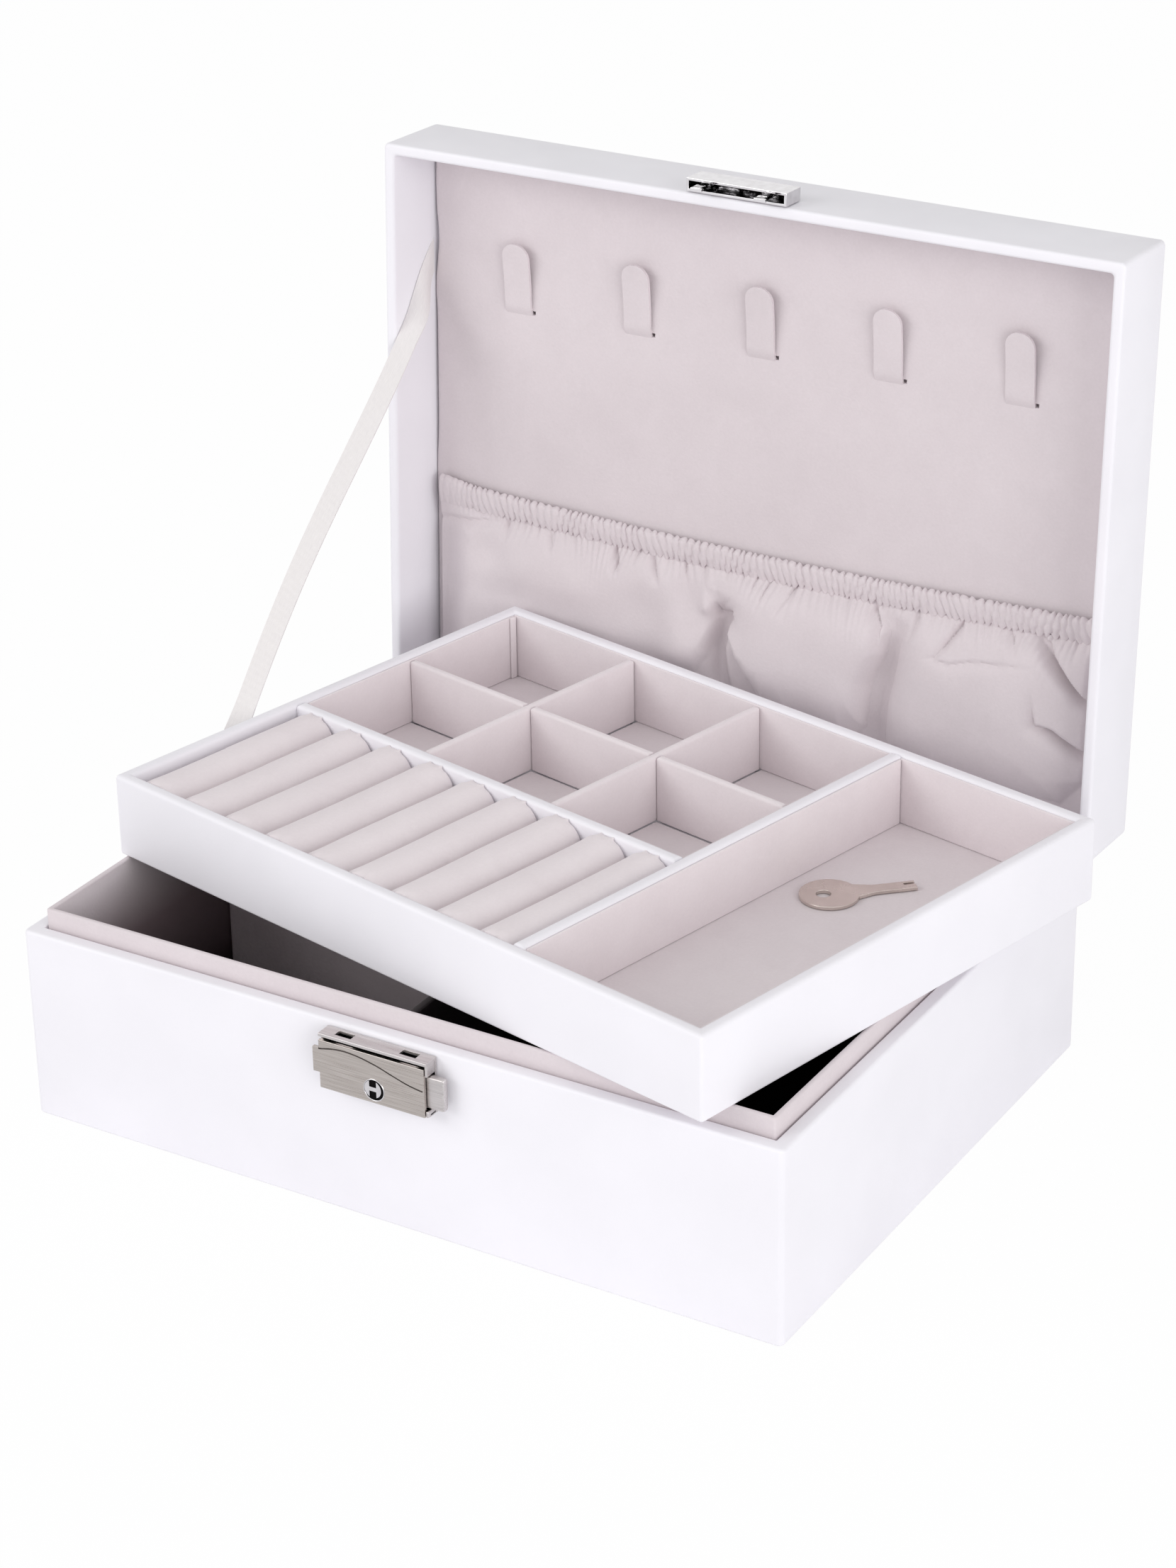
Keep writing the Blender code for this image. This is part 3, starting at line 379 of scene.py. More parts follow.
LEATHER, tree, shader = finish_called(
    "white leatherette, embossed over board",
    "F3F1F6",
    {"Roughness": 0.46, "Specular IOR Level": 0.4},
)
place = place_on(tree)
grain = {"Vector": place, "Scale": per_mm(PEBBLE), "Randomness": 0.9}
pebbles = add(tree, "TexVoronoi", grain, feature="SMOOTH_F1")["Distance"]
waves = noise(tree, place, GLUE_WAVE, 2)
marks = noise(tree, place, HANDLING_MARK, 4)
looks = {
    "Base Color": ramp(tree, waves, (0.3, "F1EFF4"), (0.7, "F5F3F8")),
    "Roughness": carry(tree, marks, 0.3, 0.7, 0.4, 0.54),
    "Normal": relief(tree, pebbles, 0.16, 0.12, Normal=relief(tree, waves, 0.25, 0.9)),
}
fill(shader, looks)
print("leatherette pebbles:", PEBBLE, "mm")

# %% [markdown]
# The lining is suede cloth: a knitted backing whose face is sheared to a short nap. It is
# wholly matt, lightens at grazing angles where fibre tips catch the light, and shows
# faint brushed patches where the nap lies another way. Its fibre tufts are drawn at 0.8 mm.

# %% Grey suede cloth
FIBRE = 0.8
NAP_PATCH = 11
BRUSH_STROKE = 46
NAP = {"Roughness": 0.92, "Specular IOR Level": 0.15, "Sheen Weight": 0.22, "Sheen Roughness": 0.5}


def suede_called(name, darker, lighter):
    """Suede whose colour runs from the lying nap's to the standing nap's."""
    finish, tree, shader = finish_called(name, darker, NAP)
    place = place_on(tree)
    fibres = noise(tree, place, FIBRE, 3)
    patches = noise(tree, place, NAP_PATCH, 5, Distortion=0.6)
    strokes = noise(tree, place, BRUSH_STROKE, 2)
    lie = reckon(tree, "MULTIPLY_ADD", fibres, 0.9, reckon(tree, "ADD", patches, strokes))
    tone = ramp(tree, carry(tree, lie, -0.05, 2.95), (0, darker), (1, lighter))
    fill(shader, {"Base Color": tone, "Normal": relief(tree, fibres, 0.35, 0.18)})
    return finish


SUEDE = suede_called("grey suede cloth, sheared nap", "D2C8CB", "E9E0E3")
# The tray's suede is the same cloth painted lighter: painted light, for the brighter light in the
# tray.
TRAY_SUEDE_PAINTED_LIGHTER = suede_called("grey suede cloth, over card, painted lighter", "E0D6D9", "F5EEF0")
print("suede fibres:", FIBRE, "mm")

# %% [markdown]
# The stay is a satin ribbon: long floats of polyester over a plain back, with a tight
# woven edge. It gleams along its length, and its cross threads show as faint lines.

# %% White satin ribbon
RIBBON_WIDTH = 7
RIBBON_RUN = 196
SATIN_THREAD = 0.35

SATIN, tree, shader = finish_called(
    "white satin, woven polyester",
    "F1EFF2",
    {"Roughness": 0.4, "Sheen Weight": 0.3, "Sheen Roughness": 0.35, "Specular IOR Level": 0.45},
)
uv = add(tree, "UVMap", {}, uv_map="surface")["UV"]
weave = {"Vector": uv, "Scale": RIBBON_RUN / SATIN_THREAD / 20, "Distortion": 0.6, "Detail": 1}
threads = add(tree, "TexWave", weave, bands_direction="Y")["Fac"]
slubs = add(tree, "TexNoise", {"Vector": uv, "Scale": 60, "Detail": 3})["Fac"]
tone = ramp(tree, slubs, (0.3, "E6E2E2"), (0.7, "F0ECEB"))
fill(shader, {"Base Color": tone, "Normal": relief(tree, threads, 0.3, 0.08)})
print("satin threads:", SATIN_THREAD, "mm")

# %% [markdown]
# The metals are all plated sheet steel. The lock's faces are brushed across, which
# stretches each glint into a streak; the strike is polished and chromed; the key is
# tumbled, so its gloss is soft and even, with fine scratches from use.

# %% Brushed, chromed and tumbled metal


def metal_called(name, dark, light, rough, streak, deep, ends=(0.32, 0.68)):
    """Metal whose tone, gloss and bump follow noise stretched along the brushing."""
    finish, tree, shader = finish_called(name, light, {"Metallic": 1, "Roughness": rough})
    stretch = {"Vector": place_on(tree), "Scale": [per_mm(size) for size in streak]}
    drawn = add(tree, "Mapping", stretch)["Vector"]
    scratches = add(tree, "TexNoise", {"Vector": drawn, "Scale": 1, "Detail": 5})["Fac"]
    looks = {
        "Base Color": ramp(tree, scratches, (ends[0], dark), (ends[1], light)),
        "Roughness": carry(tree, scratches, 0.3, 0.7, rough * 0.8, rough * 1.25),
        "Normal": relief(tree, scratches, 0.3, deep),
    }
    fill(shader, looks)
    return finish


BRUSHED = metal_called(
    "steel, brushed and nickel plated", "B3ABA5", "CBC4BF", 0.3,
    (14, 0.25, 0.25), 0.01,
)
CHROME = metal_called(
    "steel, polished and chromed", "D6D3D5", "E2E0E2", 0.1, (2.5, 2.5, 2.5), 0.002
)
SATIN_NICKEL = metal_called(
    "steel, satin finished and nickel plated", "C6C1C0", "D9D4D3", 0.32,
    (9, 0.3, 0.3), 0.008,
)
NICKEL = metal_called(
    "steel, tumbled and nickel plated", "CFC5BE", "DAD0C9", 0.24, (7, 7, 7), 0.02
)
# Painted shade: near-black steel for the hollow of the lock's case and for the keyhole.
PAINTED_SHADE_STEEL = metal_called(
    "steel, painted shade inside the lock", "0B0A0B", "191617", 0.6, (1.5, 1.5, 1.5), 0.01
)
# Painted reflection: chrome painted near black, with painted white glints where the noise peaks,
# for the strike's hollow.
PAINTED_REFLECTION_CHROME = metal_called(
    "steel, chromed, painted dark reflection and glints", "120F11", "EFEDEF", 0.16,
    (4.5, 2, 2), 0.03, ends=(0.49, 0.54),
)

# %% [markdown]
# ## The base
# Five boards under one skin. The leatherette is glued over the outside, folded over the
# rim and tucked in behind the liner, so it has no seam at the corners: one closed profile
# carried round the box shows that better than four boards would.

# %% Leather of the base
BASE_HALF_X, BASE_HALF_Y = 117.5, 87.5
BASE_TALL = 57.5
BASE_WALL = 4.2
BASE_CORNER = 1.7
RIM_FOLD = 1

profile = wall_profile(BASE_WALL, 0, BASE_TALL, 0.8, RIM_FOLD, 0.4, 0.4)
skin = wrap(BASE_HALF_X, BASE_HALF_Y, profile, BASE_CORNER, capped=False)
make_piece("base_leather", skin, LEATHER, "base", sides_of("base_{}_wall"))

# %% [markdown]
# The liner is a card frame in suede that stands 5.6 mm above the ledge, where it locates
# the lid. Its rim is a tight fold, so its corners are crisp. Deep in the base its suede
# is painted with shade, going over to a warm black, since the photograph shows no light there.

# %% Suede with painted shade inside the base
SHADED_FROM, SHADED_TO = 61.5, 7
DARK_END_X, LIT_END_X = 8, -26


def shaded_suede(name, tones, axis, dark, lit, *stops):
    """Suede with painted shade: it goes over to black along an axis, between two places in
    millimetres.
    """
    finish = suede_called(name, *tones)
    tree = finish.node_tree
    shader = tree.nodes["Principled BSDF"]
    tone = shader.inputs["Base Color"].links[0].from_socket
    distance = add(tree, "SeparateXYZ", {"Vector": place_on(tree)})[axis]
    shade = ramp(tree, carry(tree, distance, dark * MM, lit * MM), *stops)
    darker = add(tree, "VectorMath", {0: tone, 1: shade}, operation="MULTIPLY")["Vector"]
    fill(shader, {"Base Color": darker, "Sheen Weight": 0.05, "Specular IOR Level": 0.04})
    return finish


DEEP_PAINTED_SHADE_SUEDE = shaded_suede(
    "grey suede cloth, painted shade deep in the base", ("D2C8CB", "E9E0E3"), "Z", SHADED_TO, SHADED_FROM,
    (0, "120E0F"), (0.22, "7C7072"), (0.6, "A99C9F"), (0.97, "FFFFFF"),
)
# Painted shade: the partitions' suede goes black towards their right end, in the base's dark end.
PAINTED_SHADE_PARTITION_SUEDE = shaded_suede(
    "grey suede cloth, on the partitions, with painted shade", ("D9CDD1", "EFE4E8"), "X", DARK_END_X, LIT_END_X,
    (0, "0E0B0C"), (0.72, "3A3334"), (1, "FFFFFF"),
)
print("suede darkens from", SHADED_FROM, "down to", SHADED_TO, "mm")

# %% Liner of the base
LINER_HALF_X, LINER_HALF_Y = 112.7, 82.7
LINER_LOW, LINER_HIGH = 4, 63.1
LINER_THICK = 1.5
LINER_FOLD = 0.55

profile = wall_profile(LINER_THICK, LINER_LOW, LINER_HIGH, 0.2, LINER_FOLD, LINER_FOLD, 0.2)
card = wrap(LINER_HALF_X, LINER_HALF_Y, profile, 0.7, capped=False, least=0.15)
make_piece("base_liner", card, DEEP_PAINTED_SHADE_SUEDE, "base", sides_of("liner_{}"))

# %% [markdown]
# ## The lid
# The lid is wrapped the same way, round a shallow tray of boards: from the middle of its
# outer face, over the edges, round the rim and down the inside to the top board.

# %% Leather of the lid
LID_HALF_X, LID_HALF_UP = 116.75, 87.5
LID_TALL = 27.5
LID_WALL = 3.4
LID_BOARD = 3.7
LID_CORNER = 1.6
LID_EDGE = 1.5
LID_MIDDLE = 40

inner_depth = LID_TALL - LID_BOARD
profile = (
    [[LID_MIDDLE, LID_TALL]]
    + bend(LID_EDGE, LID_TALL - LID_EDGE, LID_EDGE, 90, 180)
    + bend(RIM_FOLD, RIM_FOLD, RIM_FOLD, 180, 270)
    + bend(LID_WALL - RIM_FOLD, RIM_FOLD, RIM_FOLD, 270, 360)
    + [[LID_WALL, inner_depth], [LID_MIDDLE, inner_depth]]
)
points, faces = wrap(LID_HALF_X, LID_HALF_UP, profile, LID_CORNER, capped=True, least=1.3)
nodes = ("lid_top_board", *sides_of("lid_{}_wall"))
make_piece("lid_leather", (points + [0, LID_HALF_UP, 0], faces), LEATHER, "lid", nodes)

# %% [markdown]
# The lining panel is a board in suede, pushed in behind the walls. It is a height field:
# its edges roll back, its left edge wanders where the cloth bunches, and it has a slit at
# the foot of each hook. The grid's lines fall on the slits' edges, so these stay crisp.

# %% Lining panel of the lid
PANEL_HALF_X = 113.05
PANEL_LOW, PANEL_HIGH = 3.7, 171.3
PANEL_FACE, PANEL_BACK = 21, 23.5
PANEL_ROLL = 1.1
HOOK_XS = -1.8 + 40.7 * (np.arange(5) - 2)
HOOK_FOOT = 123.8
SLIT_HALF_X, SLIT_TALL = 4.9, 1.1
SLIT_DEEP = 1.8
SLIT_SHIFT = 0.5
SLIT_EDGE = 0.12


def roll_back(distance, radius):
    """Depth of a rolled edge: radius less the root of radius squared less reach squared."""
    reach = np.clip(radius - distance, 0, radius)
    return radius - np.sqrt(radius**2 - reach**2)


EDGE_UPS = (3.7, 60, 70, 84, 119, 128, 136, 144, 149, 160, 171.3)
EDGE_XS = (-112.9, -113, -113.3, -112.6, -112.7, -113.3, -112.4, -111.7, -112.6, -112.9, -112.5)
BUNCH_FROM = 90


def panel_left(up):
    """The left edge as the cloth bunches along it, smoothed over six millimetres."""
    return sum(np.interp(up + shift, EDGE_UPS, EDGE_XS) for shift in (-3, -1, 1, 3)) / 4


rolled = PANEL_ROLL * (1 - np.cos(np.linspace(0, math.pi / 2, 5)))
slit_x = (HOOK_XS[:, None] + SLIT_SHIFT + np.array([-1, 1]) * SLIT_HALF_X).ravel()
slit_up = HOOK_FOOT + np.array([0, SLIT_TALL])[:, None] + SLIT_EDGE * np.array([-1, 1])
lines_x = (
    slit_x - SLIT_EDGE,
    slit_x + SLIT_EDGE,
    np.linspace(-0.98, 0.98, 66) * PANEL_HALF_X,
    PANEL_HALF_X - rolled,
    rolled - PANEL_HALF_X,
)
lines_up = (
    PANEL_LOW + rolled,
    PANEL_HIGH - rolled,
    slit_up.ravel(),
    np.linspace(PANEL_LOW + 2, PANEL_HIGH - 2, 60),
)
x, up = np.meshgrid(*(np.unique(np.concatenate(lines).round(3)) for lines in (lines_x, lines_up)))
left_share = np.clip((-x - BUNCH_FROM) / (PANEL_HALF_X - BUNCH_FROM), 0, 1) ** 2
shifted = x + left_share * (panel_left(up) + PANEL_HALF_X)
inward = np.minimum.reduce([x + PANEL_HALF_X, PANEL_HALF_X - x, up - PANEL_LOW, PANEL_HIGH - up])
in_slit = (np.abs(up - HOOK_FOOT - SLIT_TALL / 2) < SLIT_TALL / 2) & (
    np.abs(x[..., None] - HOOK_XS - SLIT_SHIFT).min(-1) < SLIT_HALF_X
)
loft = 0.08 * np.sin(x / 27 + 0.7) * np.sin(up / 23)
depth = PANEL_FACE + roll_back(inward, PANEL_ROLL) + SLIT_DEEP * in_slit
depth = depth - np.where(inward > 2, np.maximum(loft, -0.1), 0) + 0.1
board = slab(xyz(shifted, up, depth), xyz(shifted, up, PANEL_BACK))
make_piece("lid_lining", board, SUEDE, "lid", ("lid_lining_panel",))

# %% [markdown]
# Each necklace hook is a tongue of stiff sheet in suede. It comes out over the lower lip of
# the slit, leans away from the panel in a shallow curve, and ends in a half circle.

# %% Necklace hooks
HOOK_HALF = 4.4
HOOK_RISE = 21.4
HOOK_LEAN = 2.7
HOOK_THICK = 1
HOOK_STRAIGHT = 0.55


def hook_surface(across, along):
    """A tongue: straight sides, then a half circle; its lean grows with height to the 1.7."""
    straight = HOOK_RISE - HOOK_HALF
    turn = np.clip((along - HOOK_STRAIGHT) / (1 - HOOK_STRAIGHT), 0, 1) * math.radians(86)
    rise = straight * np.clip(along / HOOK_STRAIGHT, 0, 1) + HOOK_HALF * np.sin(turn)
    foot = np.clip(1 - along / 0.1, 0, 1)
    out = np.clip(rise / 3, 0, 1)
    off = 1.3 * HOOK_THICK * out * (2 - out) + HOOK_LEAN * (rise / HOOK_RISE) ** 1.7
    depth = PANEL_FACE + HOOK_THICK / 2 + 0.15 - off
    cup = 0.3 * across**2 * np.clip(rise / HOOK_RISE, 0, 1)
    return xyz(HOOK_HALF * np.cos(turn) * across, rise - 0.8 * foot, depth + cup)


across, along = np.meshgrid(np.linspace(-1, 1, 13), np.linspace(0, 1, 41))
half_thick = np.array([0, 0, HOOK_THICK / 2])
for number, hook_x in enumerate(HOOK_XS, start=1):
    middle = hook_surface(across, along) + [hook_x, HOOK_FOOT + 0.2, 0]
    tongue = slab(middle - half_thick, middle + half_thick)
    node = f"necklace_hook_{number}"
    round_edges(make_piece(f"suede_hook_{number}", tongue, SUEDE, "lid", (node,)), 0.28)

# %% [markdown]
# ## The pocket
# Suede cloth, cut wider than the panel, is sewn down along its foot and sides and drawn
# in at the top by elastic. The fullness has to go somewhere: it stands off as a few broad
# folds, and close under the elastic as many fine gathers that die out downwards.

# %% Folds and creases of the pocket
POCKET_HALF_X = 110.05
POCKET_FOOT = 4.5
CUSHIONS = (
    (
        (-9.8, 45.2, 6), (-16, 52.5, 9), (-22, 62.5, 5), (36, 62, 3),
        (40.5, 57.5, 2), (44, 50, 2), (43, 43, 2), (39, 33, 2),
        (37.5, 19, 4), (32, 13, 5), (16, 15, 4), (5, 18, 2.4),
        (-0.5, 25.4, 2), (-4.6, 30.9, 1.6), (-7.8, 38.7, 1.2), (-8, 43.2, 0.8),
    ),
    (
        (49.5, 62, 3), (50, 56, 4), (47.5, 48, 4.6), (46, 38, 4.6),
        (44, 28, 4.6), (43.5, 13, 5), (60, 9, 5), (100, 9, 6),
        (108, 18, 9), (108.5, 39, 6), (106.4, 41.4, 1), (95.6, 51.8, 1),
        (87.4, 62.6, 5),
    ),
    (
        (-108.5, 60, 5), (-16, 61, 8), (-10.5, 47, 3), (-12, 43, 1.4),
        (-13.6, 36, 1.4), (-15, 30, 2.4), (-18.5, 25, 5), (-30, 21, 8),
        (-44, 9, 9), (-100, 8, 8), (-108.5, 20, 6),
    ),
    (
        (88.4, 63, 2), (109, 63, 4), (109.8, 39.2, 0.8), (101.4, 47, 0.8),
        (96.6, 52.2, 0.8),
    ),
)
CUSHION_HEIGHTS = (7, 6, 3.6, 4.5)
SWELLS = (
    ((-21, 31), (9, 9), 3.6),
    ((-14.2, 46.6), (2.2, 2.6), 2.2),
    ((-15.6, 53), (2.4, 7.5), 1.7),
    ((-22.6, 49.5), (3.8, 6), -1.9),
    ((47.2, 57), (3.2, 3.8), 2.6),
    ((-79, 47), (8, 6), 0.9),
    ((-92, 49), (7.5, 5), -2),
    ((-78, 35), (13, 6), -1.6),
    ((-60, 45), (9, 7), 1.8),
    ((-36, 43), (8, 7), -1.4),
)
CREASES = (
    (((-110, 55.4, 1.4), (-98, 56.6, 1.6), (-90, 58, 0.6)), 0.6, 1.6),
    (((-85.8, 60, 2.2), (-85.4, 53.6, 0.4)), 0.5, 1.2),
    (((-72, 60, 2), (-69.6, 54.4, 1.4), (-70.4, 51.6, 0.1)), 0.6, 1.4),
    (((-48.3, 61, 2.4), (-47.7, 56.1, 3.2), (-46.4, 53.1, 2.6), (-47.4, 49.8, 0.1)), 0.6, 1.2),
    (((-35.7, 60, 2.2), (-34.2, 54.4, 2.4), (-31.4, 49, 0.1)), 0.6, 1.6),
    (((-4, 54, 0.1), (-11.2, 46, 1)), 1.6, 1.2),
    (((45.5, 56, 0.4), (45.8, 47, 2), (43.4, 36, 2.6), (41, 20, 2.6), (40.5, 6, 1.5)), 3.4, 3),
    (((-12.6, 47.4, 1.2), (-12, 44.8, 4.6), (-9.6, 43.6, 6.4), (-7.2, 45, 3.4)), 0.5, 0.7),
    (((-7.4, 44, 4.6), (-9.9, 40.2, 7), (-11.6, 33, 8), (-10.6, 25, 8), (-6, 4.5, 7)), 1.2, 2),
    (((9.3, 61.9, 2.8), (12.5, 57, 3.2), (11.2, 53.6, 1.4), (9, 50, 0.2)), 0.5, 1.1),
    (((14.6, 59.4, 2.2), (12.6, 56.6, 2.6)), 0.5, 0.9),
    (((36, 60.5, 2.6), (38.6, 56.5, 3.4), (41.5, 51.5, 2.4), (41.5, 44, 0.1)), 0.6, 1.5),
    (((52.8, 60.8, 2), (52.6, 55.5, 2.2), (50.6, 48.5, 0.2)), 0.8, 1.4),
    (((66.5, 61.5, 2.4), (66.5, 56.4, 3.4), (63.5, 51.1, 2.4), (60.2, 46.8, 0.9)), 0.6, 1.4),
    (
        ((60.2, 46.8, 0.5), (65, 45.9, 0.9), (71.9, 48, 0.9), (81.2, 49, 0.8), (91, 50, 0.1)),
        0.5, 1.6,
    ),
    (((80.2, 60.6, 2.4), (81.6, 57.8, 3), (84.4, 53.9, 0.6)), 0.5, 1.1),
    (((87.4, 63, 4), (91.7, 57.1, 6), (96, 51.8, 7), (100.9, 46.6, 7), (107.5, 40.4, 6)), 0.7, 1.3),
    (
        (
            (90.6, 43, 0.1), (91.4, 37.5, 1.2), (92.3, 32.8, 2.4), (97.2, 31.6, 5.4),
            (106.5, 25.4, 6.5),
        ),
        0.7, 1.8,
    ),
)


def hem_foot(x):
    """Height of the line where the elastic starts: it sags between its ends."""
    share = (x / POCKET_HALF_X + 1) / 2
    return 59.2 - 2.4 * np.sin(math.pi * share) + 1.2 * (1 - share)


def hump(distance, spread, power=2):
    """A hump: e to the power of minus the distance over the spread, raised to a power."""
    return np.exp(-(np.abs(distance / spread) ** power))


def eased(share):
    """A share eased in and out: its square times three less twice the share."""
    return share * share * (3 - 2 * share)


def to_segment(x, up, start, stop):
    """Distance to a segment, the share of it reached, and whether the point is on its right."""
    (x0, up0), (x1, up1) = start[:2], stop[:2]
    run_x, run_up = x1 - x0, up1 - up0
    share = ((x - x0) * run_x + (up - up0) * run_up) / (run_x**2 + run_up**2)
    share = np.clip(share, 0, 1)
    away_x, away_up = x - x0 - share * run_x, up - up0 - share * run_up
    return np.hypot(away_x, away_up), share, run_x * away_up - run_up * away_x > 0


def cushion(x, up, outline):
    """Cloth filled out inside an outline: one less e to minus the distance over softness."""
    nearest = np.full_like(x, np.inf)
    inside = np.zeros(x.shape, bool)
    for start, stop in zip(outline, outline[1:] + outline[:1]):
        nearest = np.minimum(nearest, to_segment(x, up, start, stop)[0] / start[2])
        if start[1] != stop[1]:
            crossing = start[0] + (up - start[1]) * (stop[0] - start[0]) / (stop[1] - start[1])
            inside ^= ((start[1] > up) != (stop[1] > up)) & (x < crossing)
    return np.where(inside, 1 - np.exp(-nearest), 0)


def crease_depth(x, up, route, sharp, soft):
    """A valley along a route, steep on its right side and gentle on its left."""
    deepest = np.zeros_like(x)
    for start, stop in zip(route, route[1:]):
        distance, share, right = to_segment(x, up, start, stop)
        deep = start[2] + (stop[2] - start[2]) * share
        deepest = np.maximum(deepest, deep * hump(distance, np.where(right, sharp, soft), 1.25))
    return deepest


GATHER = 2.15
GATHER_DEEP = 1.5
TUCK = 6.3
LEAST_STANDOFF = 0.8
BLEND_SHARP = 2.2
gather_draw = np.random.default_rng(11)
GATHER_WAVES = gather_draw.uniform(0, 2 * math.pi, 4)


def gather_phase(x):
    """The gathers' phase: one turn for each, hurried and slowed by three slow waves."""
    a, b, c, _ = GATHER_WAVES
    slow = 1.3 * np.sin(x / 7.3 + a) + 0.9 * np.sin(x / 2.9 + b) + 1.5 * np.sin(x / 17 + c)
    return 2 * math.pi * x / GATHER + slow


def gather_crease(x):
    """One soft crease for each gather, deeper here and shallower there."""
    deep = 0.8 + 0.2 * np.sin(x / 2.3 + 1) * np.sin(x / 9.1)
    return deep * hump(np.sin(gather_phase(x) / 2), 0.66)


def pocket_standoff(x, up):
    """How far the cloth stands off the panel: fullness and swells, less gathers and creases."""
    share = (x / POCKET_HALF_X + 1) / 2
    below = hem_foot(x) - up
    along = np.clip((up - POCKET_FOOT) / (hem_foot(x) - POCKET_FOOT), 0, 1)
    side = eased(np.clip(np.minimum(share / 0.06, (1 - share) / 0.02), 0, 1))
    full = 1 - np.exp(-np.maximum(below, 0) / 4.5)
    bulge = 2 * np.sin(math.pi * along) ** 0.5
    for outline, height in zip(CUSHIONS, CUSHION_HEIGHTS):
        bulge = bulge + height * full * cushion(x, up, outline)
    for (middle_x, middle_up), (wide, tall), height in SWELLS:
        bulge = bulge + height * full * hump(x - middle_x, wide) * hump(up - middle_up, tall)
    slack = 0.3 * np.sin(x / 6.1 + up / 9) * np.sin(up / 7.3 - x / 13)
    under = np.maximum(below, 0)
    stand = 1.5 + side * (bulge + slack * full) + 0.5 * np.exp(-under / 3)
    reach = 2.5 + 1.2 * np.sin(x / 4.7 + GATHER_WAVES[3]) + np.sin(x / 11)
    fine = np.clip((x + 106) / 12, 0, 1)
    bent = x + 0.3 * under * np.sin(x / 7 + 1)
    die_out = np.exp(-under / reach) * (1 - 0.6 * np.exp(-under))
    stand = stand - GATHER_DEEP * fine * gather_crease(bent) * die_out
    phase = math.pi * bent / TUCK + 1.1 * np.sin(x / 10.3) + 0.7 * np.sin(x / 4.1)
    tuck = hump(np.sin(phase), 0.26, 1.4)
    tuck = tuck * (0.55 + 0.45 * np.sin(x / 5.3 + 2) * np.sin(x / 13))
    stand = stand - GATHER_DEEP * fine * tuck * np.exp(-((under / (1.2 + 1.1 * reach)) ** 2))
    for route, sharp, soft in CREASES:
        stand = stand - crease_depth(x, up, route, sharp, soft) * np.clip(below / 2, 0.3, 1)
    return LEAST_STANDOFF + np.logaddexp(0, BLEND_SHARP * (stand - LEAST_STANDOFF)) / BLEND_SHARP


print("pocket:", len(CUSHIONS), "cushions,", len(SWELLS), "swells,", len(CREASES), "creases")

# %% [markdown]
# The cloth is one grid of points, fine enough for the gathers, thickened to 0.8 mm. Its
# flat size is that of the cut before the elastic drew it in.

# %% Cloth of the pocket
POCKET_CLOTH = 0.8

share_x, along = np.meshgrid(np.linspace(-1, 1, 561), np.linspace(0, 1, 81))
x = POCKET_HALF_X * share_x
up = POCKET_FOOT + (hem_foot(x) + 0.4 - POCKET_FOOT) * along
cloth = xyz(x, up, PANEL_FACE - pocket_standoff(x, up))
half = np.array([0, 0, POCKET_CLOTH / 2])
pocket = make_piece("pocket_cloth", slab(cloth - half, cloth + half), SUEDE, "lid", ("lid_pocket",))

# %% [markdown]
# The elastic runs in a casing turned over the top of the cloth. Drawn in, the casing is a
# row of small upright ridges between its top fold and its stitching.

# %% Elastic hem
HEM_TALL = 7
HEM_THICK = 1.5
HEM_GAP = 0.9

share_x, along = np.meshgrid(np.linspace(-1, 1, 881), np.linspace(0, 1, 19))
x = POCKET_HALF_X * share_x
fine = np.clip((x + 108) / 12, 0.3, 1)
slant = (0.5 + 1.3 * np.sin(x / 8) + 0.8 * np.sin(x / 3.1)) * (along - 0.5)
slant = slant + 0.25 * np.sin(9 * along + 1.7 * x)
crease = gather_crease(x + slant)
tall = HEM_TALL + 1.6 * hump(x + POCKET_HALF_X, 9)
scallop = fine * (0.4 - crease) * (1.1 * along**2 - 1.5 * (1 - along) ** 2)
up = hem_foot(x) + tall * along + scallop
round_off = np.clip(1 - np.maximum(2 * along - 1, 0) ** 4, 0, 1) ** 0.5
round_off = round_off * (0.5 + 0.5 * np.sin(np.minimum(along / 0.5, 1) * math.pi / 2))
stand = HEM_GAP + 0.9 + round_off * (HEM_THICK + 0.3 * fine - 0.66 * fine * crease)
front = xyz(x, up, PANEL_FACE - stand)
back = xyz(x, up, PANEL_FACE - HEM_GAP - 0.8 * along)
hem = make_piece("gathered_hem", slab(front, back), SUEDE, "lid", ("pocket_elastic_hem",))

# %% [markdown]
# ## Ribbon stay and spine hinge
# Both cross the lid's hinge, so they bend between the base and the lid. The ribbon lies
# flat on the liner at its foot, turns to face the front, and turns again at the lid.

# %% Ribbon stay
RIBBON_HEAD = in_lid(np.array([-113.08, 137, 20.5]))
RIBBON_FOOT = np.array([-110.7, -22.5, 57.1])
RIBBON_THICK = 0.4
INSET_FOOT, INSET_HEAD = 2.6, 3.25
RIBBON_BOW = 3.2

across, along = np.meshgrid(np.linspace(-0.5, 0.5, 9), np.linspace(0, 1, 141))
reach = RIBBON_HEAD - RIBBON_FOOT
run = reach / np.linalg.norm(reach)
box_right = np.array([1, 0, 0])
flat = np.cross(run, box_right)
flat = flat / np.linalg.norm(flat)
lid_deeper = in_lid(np.array([0, 0, 1])) - in_lid(np.zeros(3))
slant = -(flat @ lid_deeper) / (run @ lid_deeper)
ends = np.minimum.reduce([np.ones_like(along), along / 0.24, (1 - along) / 0.14])
twist = eased(ends) * math.pi / 2
aside = RIBBON_WIDTH * across
belly = 0.3 * np.sin(math.pi * along) * (1 - 4 * across**2)
belly = belly - RIBBON_BOW * np.sin(math.pi * np.minimum(along / 0.86, 1)) ** 2
inset = (INSET_FOOT + (INSET_HEAD - INSET_FOOT) * along) * np.sin(twist)
